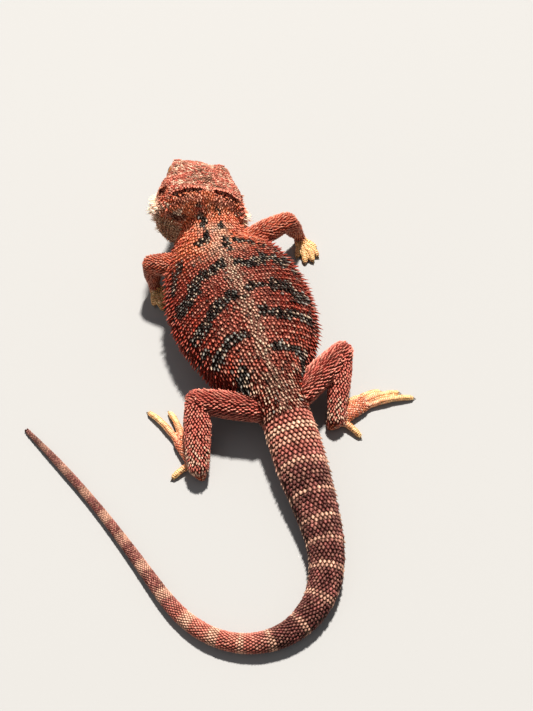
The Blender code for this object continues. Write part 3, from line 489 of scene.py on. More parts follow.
TRUNK_PART = trunk_part()
TAIL_PART = tail_part()
HEAD_PART = head_part()
SEGMENTS, SOLES, DIGITS = limb_parts()
PARTS = [TRUNK_PART, TAIL_PART, HEAD_PART, *SEGMENTS, *SOLES, *DIGITS]


def eye_frame(side):
    """The eye's centre, the way it looks, then forwards and upwards square to that."""
    forward, left, up = HEAD_AXES
    out = unit(forward * EYE_TURN[0] + left * side * EYE_TURN[1] + up * EYE_TURN[2])
    along = unit(forward - out * forward.dot(out))
    tall = np.cross(out, along)
    if tall.dot(up) < 0:
        tall = -tall
    return mirrored(EYE_AT, side), out, along, tall


def grid_mesh(grids):
    """Vertices and faces over grids of rings, each end closed by a fan."""
    verts, faces = [], []
    count = 0
    for grid in grids:
        n, m, _ = grid.shape
        verts.append(grid.reshape(-1, 3))
        index = count + np.arange(n * m).reshape(n, m)
        near, far = index[:-1], index[1:]
        quads = np.stack([near, np.roll(near, -1, 1), np.roll(far, -1, 1), far], -1).reshape(-1, 4)
        faces += quads.tolist()
        count += n * m
        for row, flip in ((index[0], True), (index[-1], False)):
            verts.append(grid[0 if flip else -1].mean(0)[None])
            pairs = np.stack([row, np.roll(row, -1), np.full(m, count)], 1)
            faces += (pairs[:, ::-1] if flip else pairs).tolist()
            count += 1
    return np.vstack(verts), faces


def in_scene(name, data):
    obj = bpy.data.objects.new(name, data)
    bpy.context.scene.collection.objects.link(obj)
    return obj


def new_object(name, verts, faces):
    mesh = bpy.data.meshes.new(name)
    mesh.from_pydata([tuple(v) for v in verts.tolist()], [], faces)
    mesh.update()
    return in_scene(name, mesh)


def mesh_points(mesh):
    co = np.empty(len(mesh.vertices) * 3)
    mesh.vertices.foreach_get("co", co)
    return co.reshape(-1, 3)


def mesh_normals(mesh):
    normal = np.empty(len(mesh.vertices) * 3, np.float32)
    mesh.vertices.foreach_get("normal", normal)
    return normal.reshape(-1, 3).astype(float)


def set_points(mesh, co):
    mesh.vertices.foreach_set("co", co.astype(np.float32).ravel())
    mesh.update()


def smooth_points(mesh, co, weight, rounds):
    """Moves each point towards the mean of its neighbours, by its weight."""
    edges = np.empty(len(mesh.edges) * 2, np.int64)
    mesh.edges.foreach_get("vertices", edges)
    edges = edges.reshape(-1, 2)
    valence = np.bincount(edges.ravel(), minlength=len(co))[:, None]
    for _ in range(rounds):
        total = np.zeros_like(co)
        for axis in range(3):
            total[:, axis] = np.bincount(edges[:, 0], co[edges[:, 1], axis], len(co))
            total[:, axis] += np.bincount(edges[:, 1], co[edges[:, 0], axis], len(co))
        co = co + (total / valence - co) * weight[:, None]
    return co


def ellipsoid(centre, radii, axes, sides=28, rows=15):
    a = np.linspace(0.08, np.pi - 0.08, rows)
    b = np.linspace(0, 2 * np.pi, sides, endpoint=False)
    poles = np.outer(np.cos(a), np.ones(sides))
    ball = np.stack([poles, np.outer(np.sin(a), np.cos(b)), np.outer(np.sin(a), np.sin(b))], -1)
    return centre + (ball * np.array(radii)) @ np.array(axes)


def pushed_in(co, centre, inward, reach, depth):
    """Sinks the skin round a place: reach is how wide, depth how far."""
    offset = co - centre
    flat = offset - np.outer(offset @ inward, inward)
    distance = np.linalg.norm(flat, axis=1) / reach
    near = (distance < 1) & (np.abs(offset @ inward) < 2.0)
    co[near] += np.outer(depth * (1 - distance[near] ** 4) ** 1.5, inward)
    return co


def build_skin():
    """The one skin over every grid, blended where the parts meet, with eye, ear, nostril and mouth."""
    grids = [p.grid for p in PARTS]
    for side in (1, -1):
        grids.append(ellipsoid(mirrored(BROW_AT, side), np.array(BROW_SIZE) - COAT * 0.7, HEAD_AXES))
    obj = new_object("skin", *grid_mesh(grids))
    modifier = obj.modifiers.new("whole", "REMESH")
    modifier.mode = "VOXEL"
    modifier.voxel_size = VOXEL
    mesh = bpy.data.meshes.new_from_object(obj.evaluated_get(bpy.context.evaluated_depsgraph_get()))
    obj.modifiers.clear()
    old = obj.data
    obj.data = mesh
    bpy.data.meshes.remove(old)
    co = mesh_points(mesh)
    joints = []
    for _, _, places, *_ in LIMBS:
        joints += [(PELVIS + np.array(place), reach) for place, reach in zip(places, (4.2, 3.4, 2.6))]
    joints += [(in_head(-3.0, 0, -6.0), 8.5), (in_head(*BROW_AT), 4.6), (mirrored(BROW_AT, -1), 4.6)]
    joints.append((PELVIS + np.array([0, 2.4, 5.0]), 6.5))
    weight = np.zeros(len(co))
    for centre, reach in joints:
        weight = np.maximum(weight, smoothstep(1.35 - np.linalg.norm(co - centre, axis=1) / reach))
    co = smooth_points(mesh, co, np.full(len(co), 0.5), 2)
    co = smooth_points(mesh, co, 0.6 * weight, 22)
    co[:, 2] = np.maximum(co[:, 2], 0.0)
    co = fold_skin(shape_face(co))
    set_points(mesh, co)
    return obj


# Creases: width, depth, then places (y, turn round the trunk) along each.
FOLDS = [
    (0.75, 0.45, [(-45.2, 0.72), (-44.4, 0.62), (-43.6, 0.52), (-42.8, 0.44), (-42.0, 0.37)]),
    (0.75, 0.45, [(-45.2, 0.78), (-44.4, 0.88), (-43.6, 0.98), (-42.8, 0.06), (-42.0, 0.13)]),
    (0.6, 0.35, [(-43.2, 0.75), (-42.6, 0.65), (-41.8, 0.56)]),
    (0.6, 0.35, [(-43.2, 0.75), (-42.6, 0.85), (-41.8, 0.94)]),
    (0.6, 0.3, [(-36.8, 0.60), (-35.2, 0.54), (-33.8, 0.49)]),
    (0.6, 0.3, [(-36.8, 0.90), (-35.2, 0.96), (-33.8, 0.01)]),
    (0.7, 0.35, [(-7.4, 0.62), (-6.2, 0.54), (-5.4, 0.46)]),
    (0.7, 0.35, [(-7.4, 0.88), (-6.2, 0.96), (-5.4, 0.04)]),
]


def fold_skin(co):
    """Creases of the throat and neck, and where the limbs meet the trunk."""
    for width, depth, places in FOLDS:
        places = np.array(places)
        turn = np.unwrap(places[:, 1] * 2 * np.pi) / (2 * np.pi)
        fine = np.linspace(0, len(places) - 1, 40)
        y = np.interp(fine, np.arange(len(places)), places[:, 0])
        v = np.interp(fine, np.arange(len(places)), turn)
        u = TRUNK_PART.ring_at(y)
        line = TRUNK_PART.at(u, v)
        middle = TRUNK_PART.grid.mean(1)[np.clip(u.round().astype(int), 0, len(TRUNK_PART.grid) - 1)]
        box = (co > line.min(0) - 2).all(1) & (co < line.max(0) + 2).all(1)
        index = np.flatnonzero(box)
        gaps = np.linalg.norm(co[index, None] - line[None], axis=2)
        nearest = gaps.argmin(1)
        close = gaps.min(1)
        ends = np.minimum(1.0, 4 * np.minimum(nearest, 39 - nearest) / 39)
        sink = depth * np.clip(1 - (close / width) ** 2, 0, 1) ** 1.5 * ends
        co[index] += unit(middle[nearest] - co[index]) * sink[:, None]
    return co


def rim_places(share, side, forward=0.0):
    """Places in the head's frame along the skull's hind rim, from the middle outwards."""
    back = -0.35 - 0.75 * share**2 + 0.35 * share + forward
    return np.stack([back, 6.9 * share * side, -0.05 - 1.7 * share**3], 1)


def rim_hollows(co):
    """The hollows under the rim, as places on the skin."""
    place = from_head(co)
    near = np.flatnonzero((np.abs(place[:, 0]) < 4) & (place[:, 2] > -5.5))
    tree = KDTree(len(near))
    for k, i in enumerate(near):
        tree.insert(co[i], k)
    tree.balance()
    found = []
    for side in (1, -1):
        for spot in rim_places(np.linspace(0.26, 0.95, 7), side, -1.0):
            found.append(co[near[tree.find(in_head(*spot))[1]]])
    return np.array(found)


def shape_face(co):
    """Hollows under the skull's rim, and the places of eyes, ears, nostrils and mouth."""
    forward, left, up = HEAD_AXES
    for spot in rim_hollows(co):
        co = pushed_in(co, spot, unit(forward * 0.55 - up * 0.85), 0.72, 0.75)
    for side in (1, -1):
        centre, out, _, _ = eye_frame(side)
        offset = co - centre
        distance = np.linalg.norm(offset, axis=1)
        facing = (offset @ out) / np.maximum(distance, 1e-6)
        open_share = smoothstep((facing - 0.52) / 0.12) * (distance < 3.6)
        sink = np.maximum(distance - 1.75, 0) * open_share
        co -= (offset / np.maximum(distance, 1e-6)[:, None]) * sink[:, None]
        ear = mirrored(EAR_AT, side)
        co = pushed_in(co, ear, -left * side - forward * 0.25, 1.25, 1.25)
        nostril = mirrored(NOSTRIL_AT, side)
        co = pushed_in(co, nostril, unit(-left * side - forward * 0.5), 0.5, 0.6)
    place = from_head(co)
    mouth = mouth_height(place[:, 0])
    middle = from_head_frame(np.stack([place[:, 0] * 0.75, np.zeros(len(co)), mouth], 1))
    inside = (place[:, 0] < 18.4) & (np.linalg.norm(co - in_head(8, 0, -5), axis=1) < 15)
    inside = inside * smoothstep((place[:, 0] - MOUTH_CORNER + 0.8) / 0.8)
    gap = np.abs(place[:, 2] - mouth)
    sink = 0.32 * np.clip(1 - gap / 0.42, 0, 1) * inside
    return co + unit(middle - co) * sink[:, None]


def speckle(points, size, seed):
    """Smooth noise between -1 and 1 at the points, with features of a size."""
    shift = Vector((seed * 17.3, seed * 5.1, seed * 9.7))
    return np.array([noise.noise(Vector(p) / size + shift) for p in points])


# Scales: how square the outline is, its sides, how far the tip lies back, then rings from the root to the
# tip as (along, across, out).
SHAPES = {
    "cone": (1.6, 8, 0.85, [(1.0, 1.0, -0.35), (0.82, 0.76, 0.16), (0.46, 0.26, 0.56)]),
    "bead": (2.0, 7, 0.1, [(1.0, 1.0, -0.35), (0.88, 0.88, 0.35), (0.5, 0.5, 0.85)]),
    "pebble": (2.3, 6, 0.25, [(1.0, 1.0, -0.5), (0.86, 0.84, 0.5), (0.42, 0.34, 0.92)]),
    "ridge": (1.35, 8, 0.72, [(1.0, 1.0, -0.35), (0.92, 0.8, 0.14), (0.74, 0.2, 0.62)]),
    "grain": (2.0, 6, 0.4, [(1.0, 1.0, -0.35), (0.7, 0.66, 0.5)]),
    "tile": (1.45, 8, 0.4, [(1.0, 1.0, -0.4), (0.9, 0.88, 0.42), (0.62, 0.4, 0.88)]),
    "leaf": (1.3, 8, 0.8, [(1.0, 1.0, -0.35), (0.88, 0.8, 0.25), (0.5, 0.3, 0.66)]),
    "plate": (4.0, 12, 0.0, [(1.0, 1.0, -0.8), (0.97, 0.97, 0.45), (0.84, 0.84, 0.92)]),
    "thorn": (1.8, 7, 0.35, [(1.0, 1.0, -0.12), (0.8, 0.72, 0.14), (0.52, 0.44, 0.42), (0.24, 0.2, 0.75)]),
}


def shape_points(kind):
    """Points (across, back, out) of one scale, its triangles, and how far each point is towards the tip."""
    power, sides, tip_back, rings = SHAPES[kind]
    a = (np.arange(sides) + 0.5 * (sides == 12)) * 2 * np.pi / sides
    reach = 1.0 / (np.abs(np.cos(a)) ** power + np.abs(np.sin(a)) ** power) ** (1 / power)
    points, share, faces = [], [], []
    for k, (along, across, height) in enumerate(rings):
        t = k / len(rings)
        back = tip_back * t**1.5
        for j in range(sides):
            low = k * sides - sides
            aside, behind = np.cos(a[j]) * reach[j] * across, np.sin(a[j]) * reach[j] * along + back
            points.append((aside * 0.5, behind * 0.5, height))
            share.append(t)
            if k:
                i = (j + 1) % sides
                faces += [(low + j, low + i, low + sides + i), (low + j, low + sides + i, low + sides + j)]
    points.append((0.0, tip_back * 0.5 + 0.02, 1.0))
    share.append(1.0)
    high = len(points) - 1 - sides
    for j in range(sides):
        faces.append((high + j, high + (j + 1) % sides, len(points) - 1))
    return np.array(points), np.array(faces), np.array(share)


class Charts:
    """Places every part's grid on the unit square, side by side, for the scales' colour map."""

    def __init__(self, parts):
        self.box = {}
        sizes = []
        for part in parts:
            length = np.linalg.norm(np.diff(part.grid.mean(1), axis=0), axis=1).sum() + 1.0
            ring = part.grid[len(part.grid) // 2]
            girth = np.linalg.norm(ring - np.roll(ring, 1, 0), axis=1).sum() + 1.0
            sizes.append((girth, length, part.name))
        side = 132.0
        x = y = shelf = 1.0
        for girth, length, name in sorted(sizes, reverse=True):
            if x + length > side:
                x, y, shelf = 1.0, y + shelf + 1.0, 0.0
            self.box[name] = (x / side, y / side, length / side, girth / side)
            x += length + 1.0
            shelf = max(shelf, girth)

    def place(self, part, u, v):
        x, y, length, girth = self.box[part.name]
        across, along = x + length * u / (len(part.grid) - 1), y + girth * np.mod(v, 1.0)
        return np.stack(np.broadcast_arrays(across, along), -1)


CHARTS = Charts(PARTS)


class Scales:
    """Collects scales of one piece, then builds them as one mesh."""

    def __init__(self, name):
        self.name = name
        self.verts, self.faces, self.colours, self.map = [], [], [], []
        self.count = 0

    def add(self, kind, roots, normals, backs, sizes, low, high, at, lean=0.0, sharp=1.3, curve=0.0, rim=0.3):
        """Sizes are (across, along, out). Low and high are the colours at the root and the tip; a darker low,
        and rim, the share of brightness kept at the root, are painted shade round each root. At is the part
        with the places u and v on its grid.
        """
        if not len(roots):
            return
        points, faces, share = shape_points(kind)
        sizes, low, high = (np.broadcast_to(value, roots.shape) for value in (sizes, low, high))
        backs = unit(backs - normals * (backs * normals).sum(1)[:, None])
        across = np.cross(backs, normals)
        out = unit(normals + backs * np.reshape(lean, (-1, 1)))
        local = points[None] * sizes[:, None, :]
        fall = np.reshape(curve, (-1, 1)) * local[..., 0] ** 2 / 2
        verts = np.repeat(roots[:, None], len(points), 1)
        for k, axis in enumerate((across, backs, out)):
            verts += axis[:, None] * local[..., k : k + 1]
        verts -= normals[:, None] * fall[..., None]
        verts = np.clip(verts, *CAD_BOX)
        n, k = verts.shape[:2]
        self.verts.append(verts.reshape(-1, 3))
        self.faces.append((faces[None] + (self.count + np.arange(n) * k)[:, None, None]).reshape(-1, 3))
        blend = (share**sharp)[None, :, None]
        colour = low[:, None] * (1 - blend) + high[:, None] * blend
        # Painted shade: the colour darkens towards each scale's root by rim.
        colour = colour * (rim + (1 - rim) * np.minimum(share * 2.1, 1.0))[None, :, None]
        self.colours.append(colour.reshape(-1, 3))
        chart = np.broadcast_to(CHARTS.place(*at), (n, 2))
        self.map.append((chart[:, None] + points[None, :, :2] * 0.003).reshape(-1, 2))
        self.count += n * k

    def build(self, material, slot, nodes):
        verts, faces, colours, uv = (np.vstack(a) for a in (self.verts, self.faces, self.colours, self.map))
        mesh = triangle_mesh(self.name, verts * METRES, faces)
        paint(mesh, colours)
        layer = mesh.uv_layers.new(name="OFBake")
        layer.data.foreach_set("uv", uv[faces.ravel()].astype(np.float32).ravel())
        dress(in_scene(self.name, mesh), material, nodes)


def triangle_mesh(name, verts, faces):
    mesh = bpy.data.meshes.new(name)
    mesh.vertices.add(len(verts))
    mesh.loops.add(faces.size)
    mesh.polygons.add(len(faces))
    mesh.vertices.foreach_set("co", verts.astype(np.float32).ravel())
    mesh.polygons.foreach_set("loop_start", np.arange(len(faces)) * faces.shape[1])
    mesh.loops.foreach_set("vertex_index", faces.astype(np.int32).ravel())
    mesh.update(calc_edges=True)
    return mesh


def paint(mesh, colours):
    """Writes one colour for each point."""
    layer = mesh.color_attributes.new(name="Markings", type="FLOAT_COLOR", domain="POINT")
    rgba = np.column_stack([np.clip(colours, 0, 1), np.ones(len(colours))])
    layer.data.foreach_set("color", rgba.astype(np.float32).ravel())


def dress(obj, material, nodes):
    """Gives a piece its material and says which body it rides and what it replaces."""
    obj.data.materials.clear()
    obj.data.materials.append(material)
    obj.data.shade_smooth()
    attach(obj, "root")
    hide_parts(*nodes)


def mixed(a, b, share):
    """Colour a turning into colour b as the share goes from 0 to 1."""
    share = np.reshape(share, (-1, 1))
    return np.asarray(a) * (1 - share) + np.asarray(b) * share


def trunk_colours(points, y):
    """The back's markings: red body, orange shoulders, pale stripe, dark blotches and pale belly."""
    centre = through(TRUNK, y)
    x = points[:, 0] - PELVIS[0] - centre[:, 0]
    height = (points[:, 2] - centre[:, 1]) / centre[:, 3]
    coarse, fine = speckle(points, 3.2, 1), speckle(points, 0.9, 2)
    lateral = np.abs(x) / centre[:, 2]
    colour = mixed(BRICK, MAROON, smoothstep(0.45 + 0.9 * coarse + 0.4 * fine))
    middle = smoothstep((0.72 - lateral + 0.3 * coarse) / 0.5) * (height > 0)
    colour = mixed(colour, PINK, middle * smoothstep(0.6 + 0.6 * fine + 0.3 * coarse) * 0.75)
    flank = smoothstep((lateral - 0.5) / 0.35) * smoothstep(0.55 + 0.8 * coarse) * (height > -0.3)
    colour = mixed(colour, RUST, flank * 0.55)
    front = smoothstep((-32.5 - y) / 7.0) * smoothstep(0.75 + 0.7 * coarse)
    colour = mixed(colour, ORANGE, front * 0.85)
    shoulders = smoothstep(2.2 - np.abs(y + 38.5) / 2.2) * smoothstep((0.55 - lateral + 0.4 * fine) / 0.4)
    colour = mixed(colour, CREAM, front * shoulders * 0.65)
    width = 1.15 + 0.6 * smoothstep((y + 36) / 5) * smoothstep((-17 - y) / 6) + 0.9 * coarse + 0.5 * fine
    stripe = smoothstep(1.6 - np.abs(x) / np.maximum(width, 0.3))
    stripe = stripe * smoothstep((y + 44.0) / 5.0) * (height > 0)
    colour = mixed(colour, STRIPE, stripe * smoothstep(0.65 + 0.9 * fine) * 0.75)
    for place in (-42.0, -36.0):
        cross = smoothstep(1.4 - np.abs(y - place + 0.4 * coarse) / 0.7)
        cross = cross * smoothstep((0.75 - lateral) / 0.3) * (height > 0)
        colour = mixed(colour, CREAM, cross * smoothstep(0.45 + 0.9 * fine) * 0.5)
    dark = blotch_share(points, x, y) * (height > -0.1)
    colour = mixed(colour, DARK, dark * 0.95)
    belly = smoothstep((-0.25 - height) / 0.35)
    colour = mixed(colour, BELLY, belly * smoothstep(0.85 + 0.5 * fine))
    return colour, dark, stripe, lateral


def blotch_share(points, x, y):
    """How far each point lies in one of the dark blotches."""
    near = np.zeros(len(points))
    rough = 0.75 * speckle(points, 1.6, 3) + 0.55 * speckle(points, 0.7, 4)
    spread = 1.15 + 0.6 * smoothstep((y + 37) / 6)
    for width, places in BLOTCHES:
        places = np.array(places)
        distance = np.full(len(points), 99.0)
        for start, end in zip(places[:-1], places[1:]):
            run = end - start
            offset = np.stack([y, x], 1) - start
            t = np.clip(offset @ run / (run @ run), 0, 1)
            distance = np.minimum(distance, np.linalg.norm(offset - t[:, None] * run, axis=1))
        edge = rough * min(1.6, width * 1.5)
        near = np.maximum(near, smoothstep((width * spread - distance + edge) / 0.6))
    return near


def tail_colours(points, s, turn):
    """Mauve with cream bands, greyer to the tip, with painted light making the bend pinker."""
    coarse, fine = speckle(points, 2.2, 5), speckle(points, 0.7, 6)
    darker = smoothstep((s - 9) / 6) * smoothstep((54 - s) / 8)
    mottled = smoothstep(0.42 + 0.5 * darker + 0.8 * coarse + 0.5 * fine)
    colour = mixed(MAUVE, TAIL_DARK, mottled * (0.8 + 0.12 * darker))
    wave = s + 0.35 * fine + 0.45 * coarse
    band = np.zeros(len(points))
    for place, strength in BANDS:
        half = np.interp(place, (0, 10, 50, 62, 118), (0.8, 0.35, 0.4, 0.95, 1.3))
        band = np.maximum(band, strength * smoothstep((half + 0.5 - np.abs(wave - place)) / 0.7))
    # Painted light: the bend is painted pinker, as if sunlit; the pinker root at the start is the tail's own
    # colour.
    bend = smoothstep((s - 48) / 6) * smoothstep((72 - s) / 6)
    colour = mixed(colour, PINK, np.maximum(smoothstep((12 - s) / 8) * 0.5, bend * 0.65))
    colour = mixed(colour, TAIL_PALE, band * smoothstep(1.0 - 0.2 * darker + 0.9 * fine + 0.5 * coarse))
    colour = mixed(colour, (0.16, 0.10, 0.09), smoothstep((s - 88) / 30) * 0.5)
    under = smoothstep((-np.sin(2 * np.pi * turn) - 0.2) / 0.5)
    return mixed(colour, BELLY, under * 0.5), band


def limb_colours(points, hand, share):
    """Orange red arms and maroon legs, paler towards the paws."""
    coarse, fine = speckle(points, 2.0, 7), speckle(points, 0.7, 8)
    if hand:
        colour = mixed(RUST, MAROON, smoothstep(0.35 + 0.8 * coarse + 0.4 * fine))
        colour = mixed(colour, ORANGE, smoothstep(0.35 - coarse) * 0.55)
    else:
        colour = mixed(BRICK, MAROON, smoothstep(0.4 + 0.8 * coarse + 0.4 * fine))
        colour = mixed(colour, PINK, smoothstep(0.3 + coarse * 1.2) * 0.3)
    return mixed(colour, SALMON, smoothstep((share - 0.75) / 0.35) * 0.5)


def paw_colours(points, share, hand):
    """Salmon red at the ankle, ivory toes."""
    fine = speckle(points, 0.6, 9)
    start = 0.12 if hand else 0.68
    colour = mixed(SALMON, IVORY, smoothstep((share - start) / 0.3 + 0.3 * fine))
    colour = mixed(colour, CREAM, smoothstep(fine * 1.4) * 0.35)
    return mixed(colour, (0.76, 0.28, 0.09), smoothstep(0.15 - fine * 1.6) * 0.55)


def head_colours(points, place):
    """Reddish brown crown with cream and olive flecks, orange cheeks, pale jaw and grey brown throat, with
    painted shade in the hollow behind the jaw.
    """
    coarse, fine = speckle(points, 2.4, 10), speckle(points, 0.75, 11)
    forward, sideways, height = place.T
    mouth = mouth_height(forward)
    colour = mixed(CROWN, BRICK, smoothstep(0.45 + 0.9 * coarse))
    crown = smoothstep((height + 3.2) / 2.0)
    colour = mixed(colour, PINK, crown * smoothstep(0.2 + 0.8 * coarse) * 0.7)
    fleck = smoothstep((fine - 0.10) / 0.2)
    colour = mixed(colour, CREAM, crown * fleck * smoothstep(0.85 + speckle(points, 3.0, 13)) * 0.85)
    centred = smoothstep(1.4 - np.hypot((forward - 4.5) / 5.0, sideways / 3.6))
    patches = speckle(points, 0.9, 12) + 0.4 * speckle(points, 4.0, 14)
    brown = smoothstep((patches + 0.35 * centred - 0.28) / 0.2)
    colour = mixed(colour, OLIVE, crown * brown * (1 - 0.7 * fleck) * 0.85)
    cheek = 1 - crown
    colour = mixed(colour, ORANGE, cheek * smoothstep(0.35 + 0.7 * coarse) * 0.65)
    behind = smoothstep((-0.9 - forward) / 0.8)
    colour = mixed(colour, mixed(RUST, ORANGE, smoothstep(0.8 + coarse)), behind)
    aside = np.abs(sideways)
    fold = smoothstep(1.5 - np.abs(forward + 2.35 + 0.25 * fine) / 0.35) * smoothstep((aside - 0.8) / 0.8)
    fold = fold * behind * smoothstep(0.8 + 0.8 * coarse)
    colour = mixed(colour, mixed(PINK, CREAM, smoothstep(fine) * 0.6), fold * 0.65)
    x, y = points[:, 0] - PELVIS[0], points[:, 1] - PELVIS[1]
    bars = blotch_share(points, x - through(TRUNK, y)[:, 0], y) * smoothstep((-2.4 - forward) / 0.6)
    colour = mixed(colour, DARK, bars * (height > -8.0) * 0.9)
    # Painted shade in the hollow behind the jaw's corner.
    jaw_hollow_shade = np.stack([forward + 3.3, aside - 5.6, height + 5.9], 1) * (0.8, 0.75, 1.2)
    jaw_hollow_shade = np.linalg.norm(jaw_hollow_shade, axis=1)
    colour = mixed(colour, np.array(MAROON) * 0.6, smoothstep((1.9 - jaw_hollow_shade + 0.3 * fine) / 0.9) * 0.9)
    ridge = np.hypot(height + 4.85, (forward + 2.3 - 0.62 * (aside - 6.9)) * 0.9)
    ridge = smoothstep((1.0 - (ridge + 2.0 * (np.abs(aside - 6.7) > 2.1)) + 0.3 * fine) / 0.5)
    colour = mixed(colour, mixed(ORANGE, CREAM, smoothstep(0.5 + 2.0 * fine)), ridge * 0.9)
    notch = smoothstep(1.6 - np.hypot(forward + 0.35, sideways * 0.75) / 0.75)
    colour = mixed(colour, CREAM, notch * smoothstep(0.8 + fine) * 0.8)
    pale = smoothstep((mouth + 1.1 - height) / 1.2)
    colour = mixed(colour, CREAM, pale * (1 - behind) * 0.6)
    below = smoothstep((mouth - 0.6 - height) / 1.6)
    colour = mixed(colour, THROAT, below * smoothstep(0.85 + 0.7 * coarse))
    return colour, crown, below


def trees_of_parts():
    """A search tree over all grids, to tell which part a point of the skin belongs to."""
    labels, points = [], []
    for k, part in enumerate(PARTS):
        n, m, _ = part.grid.shape
        i, j = np.meshgrid(np.arange(0, n), np.arange(0, m, 2), indexing="ij")
        labels.append(np.stack([np.full(i.size, k), i.ravel(), j.ravel()], 1))
        points.append(part.grid[i.ravel(), j.ravel()])
    labels, points = np.vstack(labels), np.vstack(points)
    tree = KDTree(len(points))
    for k, p in enumerate(points):
        tree.insert(p, k)
    tree.balance()
    return tree, labels


def part_colours(k, points, u, v):
    """The markings at points of one part, for the skin and its scales alike, with the painted shade behind
    the jaw and the painted light on the tail's bend.
    """
    part = PARTS[k]
    place = part.place(u)
    if part is TRUNK_PART:
        return trunk_colours(points, place)[0]
    if part is TAIL_PART:
        return tail_colours(points, place, v)[0]
    if part is HEAD_PART:
        return head_colours(points, from_head(points))[0]
    hand = part.name.startswith("arm")
    share = u / (len(part.grid) - 1)
    if part in SEGMENTS:
        lower = part.name.endswith("lower")
        return limb_colours(points, hand, share if lower else share * 0)
    if part in SOLES:
        return paw_colours(points, share * 0.75, hand)
    return paw_colours(points, 0.7 + 0.3 * share, hand)


def skin_colours(co, placer):
    """The markings at every point of the skin, by the part that it belongs to."""
    label = placer.labels[[placer.parts.find(p)[1] for p in co]]
    colours = np.zeros((len(co), 3))
    for k in range(len(PARTS)):
        mask = label[:, 0] == k
        if mask.any():
            part = PARTS[k]
            v = label[mask, 2] / part.grid.shape[1]
            colours[mask] = part_colours(k, co[mask], label[mask, 1].astype(float), v)
    return colours


